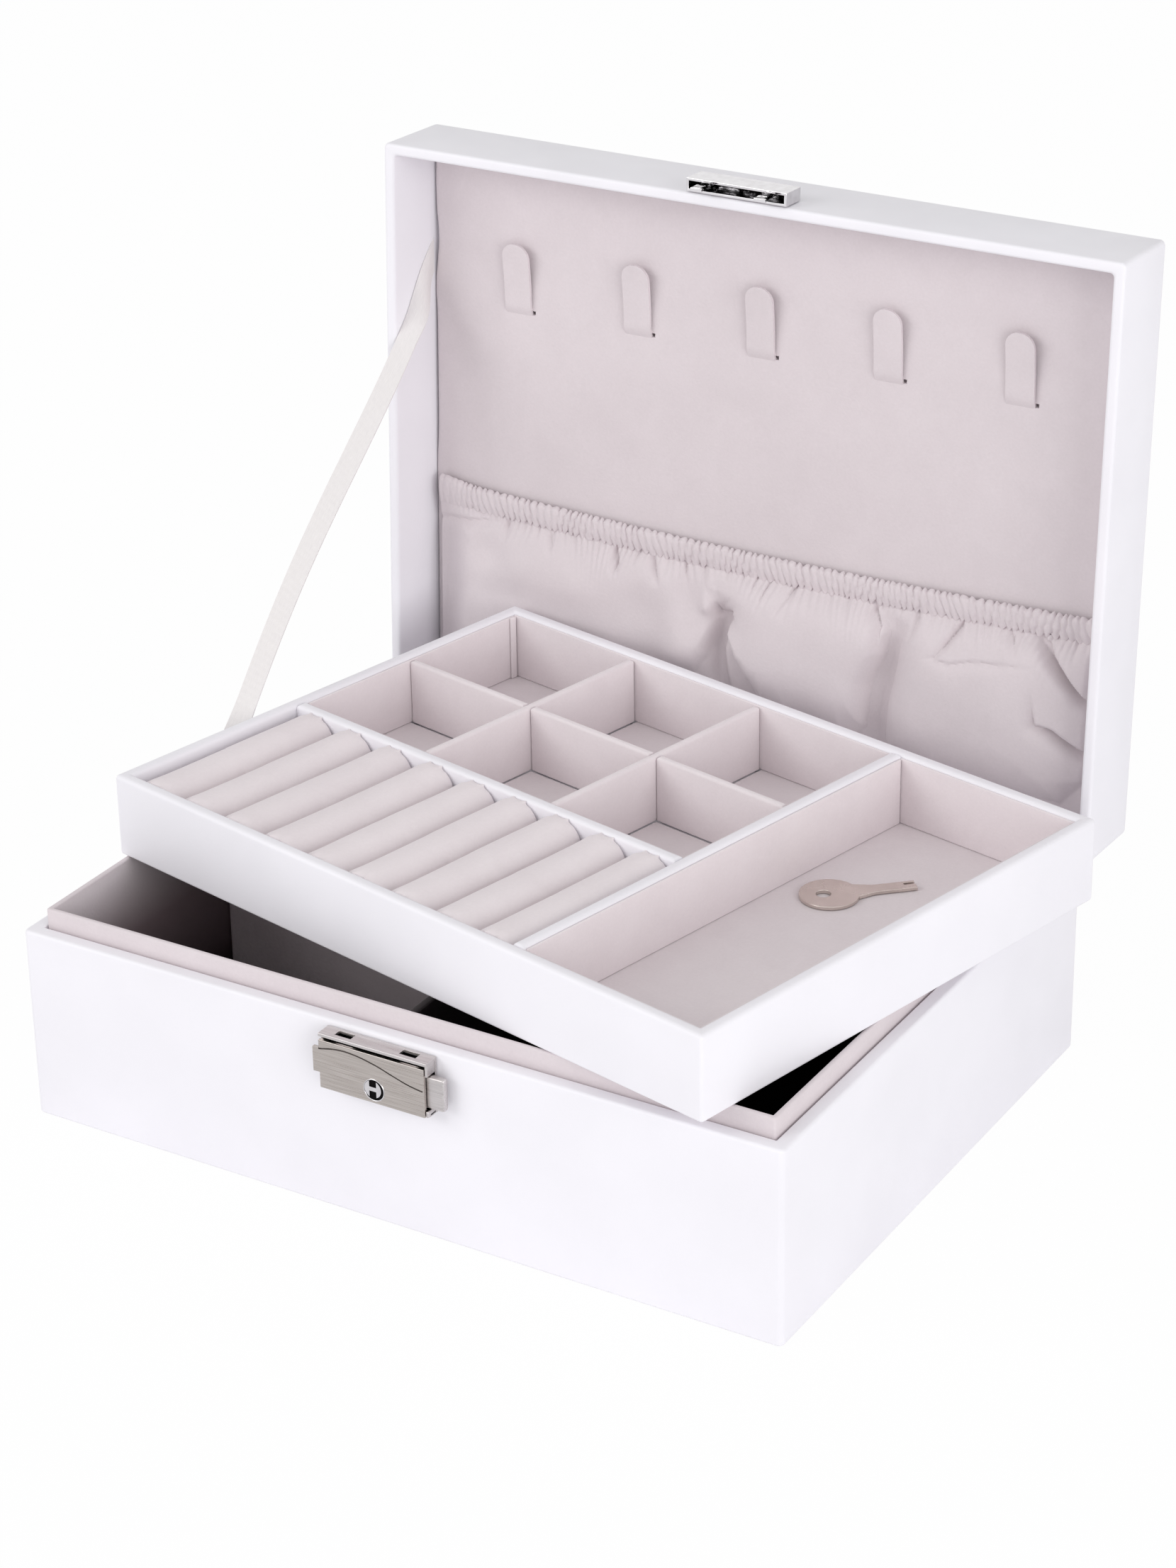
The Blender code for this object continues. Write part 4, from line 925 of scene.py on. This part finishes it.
cosine, sine = np.cos(twist)[..., None], np.sin(twist)[..., None]
middle = RIBBON_FOOT + reach * along[..., None] + run * (slant * aside * along)[..., None]
middle = middle + box_right * (inset + belly)[..., None]
sheet = middle + (flat * cosine + box_right * sine) * aside[..., None]
half = (flat * sine - box_right * cosine) * RIBBON_THICK / 2
ribbon_uv = np.stack([across + 0.5, along], axis=-1)
ribbon = make_piece(
    "satin_ribbon",
    slab(sheet - half, sheet + half),
    SATIN,
    stands_for=("ribbon_stay",),
    uv=np.concatenate([ribbon_uv, ribbon_uv]),
)
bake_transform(ribbon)

# %% [markdown]
# The spine is a strip of the same leatherette, glued up the back of the base and out along
# the back of the lid, with a soft bend between them.

# %% Spine hinge
SPINE_HALF_X = 114.75
SPINE_OFF = 0.8
SPINE_THICK = 1
SPINE_TALL = 18
SPINE_BEND = 2.4


def between(start, stop, share):
    """A place between two others, at a share of the way."""
    return start * (1 - share) + stop * share


lid_end = in_lid(np.array([0, -SPINE_OFF, SPINE_TALL]))
lid_start = in_lid(np.array([0, -SPINE_OFF, 0]))
along_lid = (lid_start - lid_end) / np.linalg.norm(lid_start - lid_end)
spine_y = BASE_HALF_Y + SPINE_OFF
corner = lid_start + along_lid * (spine_y - lid_start[1]) / along_lid[1]
share = np.linspace(0, 1, 9)[:, None]
low, high = corner - [0, 0, SPINE_BEND], corner - along_lid * SPINE_BEND
curve = between(between(low, corner, share), between(corner, high, share), share)
flat_low = between(np.array([0, spine_y, BASE_TALL - SPINE_TALL]), low, share)
flat_high = between(high, lid_end, share)
route = np.concatenate([flat_low[:-1], curve, flat_high[1:]])
step = np.gradient(route, axis=0)
outward = xyz(0, step[:, 2], -step[:, 1])
outward = outward / np.linalg.norm(outward, axis=1, keepdims=True)
spine_x = np.linspace(-SPINE_HALF_X, SPINE_HALF_X, 25)
sheet = route[:, None, :] + spine_x[None, :, None] * box_right
half = outward[:, None, :] * SPINE_THICK / 2
spine = make_piece(
    "leather_spine", slab(sheet + half, sheet - half), LEATHER, stands_for=("spine_hinge",)
)
round_edges(spine, 0.3)
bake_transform(spine)

# %% [markdown]
# ## The tray
# The tray's walls are boards in leatherette with a plump rim. The skin goes over the rim
# and down the inside, and shows there beside the ring rolls.

# %% Leather of the tray
TRAY_HALF_X, TRAY_HALF_Y = 109.2, 79.2
TRAY_TALL = 24.5
TRAY_WALL = 3.8
TRAY_RIM = 1.3
INNER_X, INNER_Y = 105.4, 75.4

profile = wall_profile(TRAY_WALL, 0, TRAY_TALL, 0.8, TRAY_RIM, TRAY_RIM, 0.3)
skin = wrap(TRAY_HALF_X, TRAY_HALF_Y, profile, 1, capped=False, least=0.4)
make_piece("tray_leather", skin, LEATHER, "tray", sides_of("tray_{}_wall"))

# %% [markdown]
# The floor is cut into cards, one for each compartment. The thin shadow round each card
# is what draws the dark line along the foot of the walls.

# %% Floor cards of the tray
LONG_LEFT, LONG_RIGHT = 41.4, 45
RING_FRONT, RING_BACK = -14.4, -10.8
ROW_FRONT, ROW_BACK = 30.2, 32.6
COLUMN_MIDDLES = (-56.5, -7.5)
COLUMN_HALF = 1.2
FLOOR_LOW, FLOOR_HIGH = 2.5, 3.6
FLOOR_GAP = 0.2


def between_columns(first, last, half):
    """The spans of x that the column cards leave free, each card being two halves wide."""
    ends = [first]
    for middle in COLUMN_MIDDLES:
        ends += [middle - half, middle + half]
    ends.append(last)
    return list(zip(ends[::2], ends[1::2]))


floors = [(LONG_RIGHT, -INNER_Y, INNER_X, INNER_Y), (-INNER_X, -INNER_Y, LONG_LEFT, RING_FRONT)]
for left, right in between_columns(-INNER_X, LONG_LEFT, COLUMN_HALF):
    floors.append((left, RING_BACK, right, ROW_FRONT))
    floors.append((left, ROW_BACK, right, INNER_Y))
cards = [
    block(
        (left + FLOOR_GAP, front + FLOOR_GAP, FLOOR_LOW),
        (right - FLOOR_GAP, back - FLOOR_GAP, FLOOR_HIGH),
        0.5, 0.25,
    )
    for left, front, right, back in floors
]
make_piece("floor_cards", together(cards), TRAY_SUEDE_PAINTED_LIGHTER, "tray", ("tray_floor_lining",))

# %% [markdown]
# Cards in suede line the walls of the small cells and of the long compartment. Each stands
# alone with rounded top and ends, so that two meet in a thin dark upright line, and its
# top is a little lower than the leather rim.

# %% Wall cards of the tray
CARD_LOW, CARD_HIGH = 3.7, 23.6
CARD_THICK = 0.8
CARD_FOLD = 0.36
CARD_GAP = 0.22
CARD_OFF = 0.05
LINED = CARD_THICK + CARD_GAP
CORNER_POST = 2.4


def upright_card(low, high):
    """A card standing between two plan corners."""
    return block((*low, CARD_LOW), (*high, CARD_HIGH), CARD_FOLD, 0.25, CARD_FOLD)


def lined(left, front, right, back):
    """Cards on all four sides of a compartment: two run through, two stand between them."""
    outer_left, outer_right = left + CARD_OFF, right - CARD_OFF
    return [
        upright_card((outer_left, front + CARD_OFF), (outer_right, front + CARD_THICK)),
        upright_card((outer_left, back - CARD_THICK), (outer_right, back - CARD_OFF)),
        upright_card((outer_left, front + LINED), (left + CARD_THICK, back - LINED)),
        upright_card((right - CARD_THICK, front + LINED), (outer_right, back - LINED)),
    ]


post = upright_card(
    (-INNER_X + CARD_THICK + CARD_OFF, INNER_Y - LINED - CORNER_POST),
    (-INNER_X + 1.9 * CARD_THICK, INNER_Y - LINED),
)
cards = lined(-INNER_X, RING_BACK, LONG_LEFT, INNER_Y)
cards += lined(LONG_RIGHT, -INNER_Y, INNER_X, INNER_Y)
make_piece("wall_cards", together([*cards, post]), TRAY_SUEDE_PAINTED_LIGHTER, "tray")

# %% [markdown]
# The two main dividers are boards wrapped in leather, whose rounded tops are level with
# the tray's rim. The four small ones are suede-covered cards that cross in half-lap
# joints: the column cards run through, and the row card shows a hair's breadth of gap on
# each side of them.

# %% Dividers
SMALL_TOP = 23.5
LAP_GAP = 0.25

for node, low, high in (
    ("long_compartment_divider", (LONG_LEFT, -INNER_Y + 0.05), (LONG_RIGHT, INNER_Y - 0.05)),
    ("ring_section_divider", (-INNER_X + 0.05, RING_FRONT), (LONG_LEFT - 0.05, RING_BACK)),
):
    board = block((*low, FLOOR_LOW + 0.1), (*high, TRAY_TALL - 0.05), 0.4, 0.3, 1.2)
    make_piece(node + "_leather", board, LEATHER, "tray", (node,))
for number, middle in enumerate(COLUMN_MIDDLES, start=1):
    low = (middle - COLUMN_HALF, RING_BACK + LINED, CARD_LOW)
    high = (middle + COLUMN_HALF, INNER_Y - LINED, SMALL_TOP)
    board = block(low, high, 0.5, 0.3, 0.9)
    make_piece(f"column_card_{number}", board, TRAY_SUEDE_PAINTED_LIGHTER, "tray", (f"column_divider_{number}",))
cards = [
    block((left, ROW_FRONT, CARD_LOW), (right, ROW_BACK, SMALL_TOP), 0.3, 0.3, 0.9)
    for left, right in between_columns(-INNER_X + LINED, LONG_LEFT - LINED, COLUMN_HALF + LAP_GAP)
]
make_piece("row_card", together(cards), TRAY_SUEDE_PAINTED_LIGHTER, "tray", ("row_divider",))

# %% [markdown]
# ## The ring rolls
# Each roll is a strip of foam in suede cloth, glued in beside its neighbours, and a ring is
# pushed down between two of them. One roll is blown up as cloth by pressure from inside,
# as foam does, at ten times its size so that the solver's own clearances don't matter.
# It is then held between its neighbours, where it goes flat, and copied with small
# differences.

# %% Blow up one roll
ROLL_COUNT = 9
ROLL_SHIFT = 0.3
ROLL_PITCH = (LONG_LEFT + INNER_X - ROLL_SHIFT) / ROLL_COUNT
ROLL_LONG = 60.96
ROLL_TALL = 20.4
ROLL_RISE = 5.6
END_FOLD = 0.8
SIMULATED_SCALE = 10
ROLL_CAP = 0.6
FRAMES = 20
VOXEL = 1.15
GLUED_BELOW = 2
PRESSURE = 4


def evaluated(piece):
    """A copy of the mesh that an object's modifiers give."""
    graph = bpy.context.evaluated_depsgraph_get()
    return bpy.data.meshes.new_from_object(piece.evaluated_get(graph))


def points_of(mesh):
    """The points of a mesh as an array."""
    points = np.zeros(len(mesh.vertices) * 3)
    mesh.vertices.foreach_get("co", points)
    return points.reshape(-1, 3)


def blown_roll():
    """Points in mm and faces of one roll, before and after the pressure."""
    half_x, half_y, shoulder = ROLL_PITCH / 2 - 0.8, ROLL_LONG / 2 - 0.3, ROLL_TALL - ROLL_RISE
    arch = np.linspace(0, math.pi, 25)
    foot_x = [-half_x + 1, half_x - 1, half_x]
    section_x = np.concatenate([foot_x, half_x * np.cos(arch), [-half_x]])
    top_z = shoulder + (ROLL_RISE - 0.5) * np.sin(arch)
    section_z = np.concatenate([[0, 0, 1], top_z, [1]])
    fold = np.linspace(0, math.pi / 2, 6)
    inset = END_FOLD * (1 - np.sin(fold))
    end_y = half_y - END_FOLD * (1 - np.cos(fold))
    row_y = np.concatenate([-end_y[::-1], end_y])
    row_inset = np.concatenate([inset, inset[::-1]])[:, None]
    x = section_x * (1 - row_inset / half_x)
    z = np.maximum(section_z - row_inset, np.minimum(section_z, row_inset))
    points, faces = carried(xyz(x, row_y[:, None], z), capped=True)
    mesh = bpy.data.meshes.new("roll_blank")
    mesh.from_pydata((points * MM * SIMULATED_SCALE).tolist(), [], faces)
    blank = linked("roll_blank", mesh)
    remesh = blank.modifiers.new("remesh", "REMESH")
    remesh.mode, remesh.voxel_size = "VOXEL", VOXEL * MM * SIMULATED_SCALE
    blank.data = evaluated(blank)
    blank.modifiers.clear()
    before = points_of(blank.data)
    glued = blank.vertex_groups.new(name="glued")
    low = np.flatnonzero(before[:, 2] < GLUED_BELOW * MM * SIMULATED_SCALE).tolist()
    glued.add(low, 1, "REPLACE")
    cloth = blank.modifiers.new("foam pressure", "CLOTH")
    cloth.settings.use_pressure = True
    cloth.settings.uniform_pressure_force = PRESSURE
    cloth.settings.vertex_group_mass = "glued"
    cloth.settings.effector_weights.gravity = 0
    cloth.settings.quality = 6
    for tick in range(1, FRAMES + 1):
        scene.frame_set(tick)
    after = points_of(evaluated(blank))
    faces = [list(face.vertices) for face in blank.data.polygons]
    scene.frame_set(1)
    bpy.data.objects.remove(blank)
    to_mm = 1 / (MM * SIMULATED_SCALE)
    return before * to_mm, after * to_mm, faces


roll_before, roll_after, roll_faces = blown_roll()
moved = roll_after - roll_before
length = np.linalg.norm(moved, axis=1, keepdims=True)
roll_shape = roll_before + moved * np.minimum(1, ROLL_CAP / np.maximum(length, 1e-9))
print("roll: pressure moved it by up to", round(float(length.max()), 2), "mm")

# %% Lay the rolls side by side
ROLL_LOW = 3.8

roll_draw = np.random.default_rng(5)
contact = ROLL_PITCH / 2 - 0.04
middle_y = (-INNER_Y + RING_FRONT) / 2
for number in range(ROLL_COUNT):
    lift, lean, phase = roll_draw.uniform(-1, 1, 3)
    x, y, z = roll_shape.T
    stretch = ROLL_TALL / roll_shape[:, 2].max() * (1 + 0.01 * lift)
    z = z * stretch + 0.12 * np.sin(y / 9 + 3 * phase) * (z / ROLL_TALL) ** 2
    x = np.clip(x * 1.02 + 0.25 * lean * (z / ROLL_TALL) ** 2, -contact, contact)
    y = np.clip(1.03 * y, -ROLL_LONG / 2, ROLL_LONG / 2)
    middle_x = -INNER_X + ROLL_SHIFT + ROLL_PITCH * (number + 0.5)
    points = xyz(x + middle_x, y + middle_y, np.maximum(z, 0) + ROLL_LOW)
    name, node = f"suede_roll_{number + 1}", f"ring_roll_{number + 1}"
    roll = make_piece(name, (points, roll_faces), TRAY_SUEDE_PAINTED_LIGHTER, "tray", (node,))
    rounder = roll.modifiers.new("rounder", "SUBSURF")
    rounder.levels = rounder.render_levels = 1

# %% [markdown]
# ## Lock, strike and key
# Metal pieces keep their solids' shapes. A solid comes as loose triangles, so a copy is
# merged and its flat faces joined again, as far as they stay convex, before its edges are
# rounded: no pressed or stamped edge is truly sharp, and the thin bright line along it is
# what sells metal.

# %% Soften a solid's edges


def merged_copy(node):
    """A CAD node's mesh as one skin: doubles merged, flat faces joined and kept convex."""
    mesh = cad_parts[node].data.copy()
    mesh.materials.clear()
    skin = bmesh.new()
    skin.from_mesh(mesh)
    bmesh.ops.remove_doubles(skin, verts=skin.verts, dist=0.002 * MM)
    flat = {"angle_limit": math.radians(1), "verts": skin.verts, "edges": skin.edges}
    bmesh.ops.dissolve_limit(skin, **flat)
    bmesh.ops.connect_verts_concave(skin, faces=skin.faces)
    bmesh.ops.recalc_face_normals(skin, faces=skin.faces)
    skin.to_mesh(mesh)
    skin.free()
    return mesh


def from_lid(points):
    """The lid's own coordinates of points in the box's frame."""
    x, y, z = np.moveaxis(points, -1, 0)
    y, z = turned(y - HINGE_Y, z - HINGE_Z, -LID_LEAN)
    return xyz(x, LID_EDGE_Y - y, z - LID_EDGE_Z)


def flat_faces(piece):
    """Shade a piece's large faces flat, up to its rounded edges."""
    piece.modifiers.new("flat faces", "WEIGHTED_NORMAL").keep_sharp = True


def softened(name, node, finish, body, width, is_hollow=None, inside=None):
    """A piece in the shape of a node, with rounded edges, and a dark finish on its hollow faces:
    painted shade and painted reflection.
    """
    piece = dress(name, merged_copy(node), finish, body, (node,))
    if is_hollow:
        centres = np.array([face.center for face in piece.data.polygons]) / MM
        piece.data.materials.append(inside)
        hollow = is_hollow(centres)
        piece.data.polygons.foreach_set("material_index", hollow.astype(int))
        print("  hollow faces:", int(hollow.sum()))
    round_edges(piece, width).angle_limit = math.radians(32)
    flat_faces(piece)
    return piece


def in_strike(centres):
    """Faces of the strike that look into its hollow, where a dark reflection and glints are
    painted.
    """
    x, up, depth = from_lid(centres).T
    return (np.abs(x) < 15.5) & (up > 175.5) & (up < 178.9) & (depth > 0.3)


def in_lock(centres):
    """Faces of the lock's case that look into its hollow, where shade is painted."""
    x, y, z = centres.T
    return (np.abs(x) < 15.95) & (y > -91.9) & (y < -88.3) & (z > 40.5) & (z < 55.3)


softened("lock_case", "lock_body", SATIN_NICKEL, "base", 0.16, in_lock, PAINTED_SHADE_STEEL)
case_ends = [
    block((15.95, -92.5, low), (16.75, -88.5, high), 0.38, 0.3)
    for low, high in ((51.85, 55.35), (39.9, 41.7))
]
make_piece("case_ends", together(case_ends), SATIN_NICKEL, "base")
lock_plate = softened("lock_plate", "lock_front_plate", BRUSHED, "base", 0.15)
softened("push_button", "lock_button", SATIN_NICKEL, "release_button", 0.3)
softened("strike", "strike_plate", CHROME, "lid", 0.12, in_strike, PAINTED_REFLECTION_CHROME)
softened("flat_key", "key", NICKEL, "loose_key", 0.14)

# %% [markdown]
# Behind the button sits a coil of hard-drawn wire, trapped between the case's end and the
# button's arm. In the lock it shortens as the button goes in and pushes it out again; here it
# is a copy of its solid that stays with the base.

spring_mesh = merged_copy("button_spring")
return_spring = dress("return_spring", spring_mesh, CHROME, "base", ("button_spring",))
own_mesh(return_spring)

# %% [markdown]
# A shallow line is engraved across the lock's plate: it leaves the tab level, falls away
# past the keyhole and levels out at the right edge. A thin tube along that line cuts it.

# %% Engraved line
LOCK_FRONT_Y = -92.7
LINE_POINTS = (
    (-16.8, 51.3), (-13, 52.3), (-9, 52.8), (-4, 52.4), (1.5, 51.2), (6.3, 49.6),
    (11, 48.2), (15.4, 47.5),
)
LINE_HALF = 0.22
LINE_STEPS, LINE_SIDES = 60, 12

line_x, line_z = np.array(LINE_POINTS).T
tube_x = np.linspace(line_x[0], line_x[-1], LINE_STEPS)
tube_z = np.interp(tube_x, line_x, line_z)
tube_z = np.convolve(np.pad(tube_z, 3, mode="edge"), np.full(7, 1 / 7), mode="valid")
around = np.linspace(0, 2 * math.pi, LINE_SIDES, endpoint=False)
line_rounds = xyz(
    tube_x[:, None],
    LOCK_FRONT_Y + LINE_HALF * np.cos(around),
    tube_z[:, None] + LINE_HALF * np.sin(around),
)
# The line's cut faces take dark steel: painted shade in the groove.
ENGRAVED_PAINTED_SHADE = metal_called(
    "steel, engraved, painted dark as shade in the line", "3A3533", "5C5552", 0.5,
    (1, 0.4, 0.4), 0.01,
)
cutter = make_piece("line_cutter", carried(line_rounds, capped=True), ENGRAVED_PAINTED_SHADE)
lock_plate.modifiers.remove(lock_plate.modifiers["flat faces"])
cut = lock_plate.modifiers.new("engraved line", "BOOLEAN")
cut.operation, cut.solver = "DIFFERENCE", "EXACT"
cut.object, cut.material_mode = cutter, "TRANSFER"
lock_plate.data = evaluated(lock_plate)
lock_plate.modifiers.clear()
bpy.data.objects.remove(cutter)
lock_plate.data.set_sharp_from_angle(angle=SHARP_EDGE)
flat_faces(lock_plate)
print("lock plate:", [slot.name for slot in lock_plate.data.materials])

# %% [markdown]
# The barrel's face is a disc with the keyway cut in from above and below, which leaves a
# bridge in the middle. The dark cup behind it is painted shade: a near-black disc that the
# eye reads as the keyhole's depth.

# %% Barrel of the lock
BARREL_Z = 44.01
BARREL_RADIUS = 2.45
KEYWAY_HALF, BRIDGE_HALF = 1.2, 0.48
CUP_X, CUP_DOWN, CUP_RADIUS = 0.3, 0.22, 3


def prism(outline, front_y, back_y):
    """A flat outline in x and z, given depth between two distances along y."""
    count = len(outline)
    rows = [np.insert(outline, 1, y, axis=1) for y in (front_y, back_y)]
    faces = grid_quads(2, count, round_columns=True)
    faces += [list(range(count)), list(range(count, 2 * count))[::-1]]
    return np.concatenate(rows), faces


def arc(start, stop, radius, steps, middle=(0, BARREL_Z)):
    """Points of an arc about a middle, between two angles in degrees."""
    angle = np.radians(np.linspace(start, stop, steps))
    return np.stack([radius * np.cos(angle), radius * np.sin(angle)], axis=-1) + middle


side = math.degrees(math.acos(KEYWAY_HALF / BARREL_RADIUS))
notch = np.array([[KEYWAY_HALF, BARREL_Z + BRIDGE_HALF], [-KEYWAY_HALF, BARREL_Z + BRIDGE_HALF]])
outline = np.concatenate(
    [
        arc(-side, side, BARREL_RADIUS, 24),
        notch,
        arc(180 - side, 180 + side, BARREL_RADIUS, 24),
        notch[::-1] - [0, 2 * BRIDGE_HALF],
    ]
)
barrel_disc = prism(outline, LOCK_FRONT_Y - 0.18, LOCK_FRONT_Y + 0.6)
barrel = make_piece("lock_barrel", barrel_disc, CHROME, "plug", ("lock_plug",))
round_edges(barrel, 0.14)
# A near-black disc behind the barrel: painted shade for the keyhole's depth.
cup_middle = (CUP_X, BARREL_Z - CUP_DOWN)
cup_outline = arc(0, 352.5, CUP_RADIUS, 48, cup_middle)
cup = prism(cup_outline, LOCK_FRONT_Y - 0.05, LOCK_FRONT_Y + 0.5)
make_piece("keyhole_painted_shade", cup, PAINTED_SHADE_STEEL, "base")
ring_turn = np.linspace(0, 2 * math.pi, 48, endpoint=False)[:, None]
ring_side = np.linspace(0, 2 * math.pi, 10, endpoint=False)
ring_radius = CUP_RADIUS + 0.12 + 0.16 * np.cos(ring_side)
ring = xyz(
    cup_middle[0] + ring_radius * np.cos(ring_turn),
    LOCK_FRONT_Y - 0.03 - 0.16 * np.sin(ring_side),
    cup_middle[1] + ring_radius * np.sin(ring_turn),
)
make_piece("keyhole_ring", carried(ring, capped=False), CHROME, "base")

# %% [markdown]
# ## Solids that keep their own shape
# The floor boards, the floor pad and the partitions are right as they are, and only take
# their finishes. The floor pad's and the partitions' suede carries painted shade.

# %% Finishes on the remaining solids
for node, finish in (
    ("base_bottom_board", LEATHER),
    ("tray_bottom_board", LEATHER),
    ("base_floor_pad", DEEP_PAINTED_SHADE_SUEDE),
    ("long_partition", PAINTED_SHADE_PARTITION_SUEDE),
    ("short_partition", PAINTED_SHADE_PARTITION_SUEDE),
):
    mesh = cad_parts[node].data
    mesh.materials.clear()
    mesh.materials.append(finish)
    print("finished:", node)

# %% [markdown]
# ## The studio
# A pale floor under even, soft light from large panels, as in a light tent. Camera rays see
# the floor and the world as plain white, so the box stands out by its own tones, and the
# metal still has something bright to mirror.

# %% Floor, world and lamps
FLOOR_HALF = 3000
FLOOR_WHITE = 0.97
WHITE = (1, 1, 1, 1)

corners = np.array([(-1, -1, 0), (1, -1, 0), (1, 1, 0), (-1, 1, 0)]) * FLOOR_HALF * MM
floor_mesh = bpy.data.meshes.new("studio_floor")
floor_mesh.from_pydata(corners.tolist(), [], [(0, 1, 2, 3)])
floor = linked("studio_floor", floor_mesh)
paper, tree, shader = finish_called("white paper, matt", "F4F4F6", {"Roughness": 0.9})
pulp = noise(tree, place_on(tree), 1.5, 3)
fill(shader, {"Base Color": ramp(tree, pulp, (0.3, "F2F2F4"), (0.7, "F6F6F8"))})
glow = add(tree, "Emission", {"Color": WHITE, "Strength": 1})["Emission"]
seen = reckon(tree, "MULTIPLY", add(tree, "LightPath", {})["Is Camera Ray"], FLOOR_WHITE)
mixed = add(tree, "MixShader", {0: seen, 1: shader.outputs["BSDF"], 2: glow})["Shader"]
fill(tree.nodes["Material Output"], {"Surface": mixed})
floor_mesh.materials.append(paper)

AMBIENT = 0.62
world = bpy.data.worlds.new("light tent")
scene.world = world
world.use_nodes = True
tree = world.node_tree
rays = add(tree, "LightPath", {})
mirrored = reckon(tree, "MAXIMUM", rays["Is Camera Ray"], rays["Is Glossy Ray"])
direct = reckon(tree, "MAXIMUM", mirrored, rays["Is Transmission Ray"])
strength = carry(tree, direct, 0, 1, AMBIENT, 1)
fill(tree.nodes["Background"], {"Color": WHITE, "Strength": strength})

PANEL_SIZE = (1400, 900)
PANEL_TARGET = (0, 0, 80)


def soft_lamp(name, place, power):
    """A soft lamp at a place, facing the box."""
    lamp = bpy.data.lights.new(name, "AREA")
    lamp.shape, lamp.energy = "RECTANGLE", power
    lamp.size, lamp.size_y = PANEL_SIZE[0] * MM, PANEL_SIZE[1] * MM
    holder = linked(name, lamp)
    holder.location = Vector(place) * MM
    aim = Vector(PANEL_TARGET) * MM - holder.location
    holder.rotation_euler = aim.to_track_quat("-Z", "Y").to_euler()
    print(name, power, "W")


soft_lamp("key_panel", (-1150, -1350, 960), 12)
soft_lamp("side_panel", (1560, -740, 540), 11.8)
scene.view_settings.view_transform = "Standard"
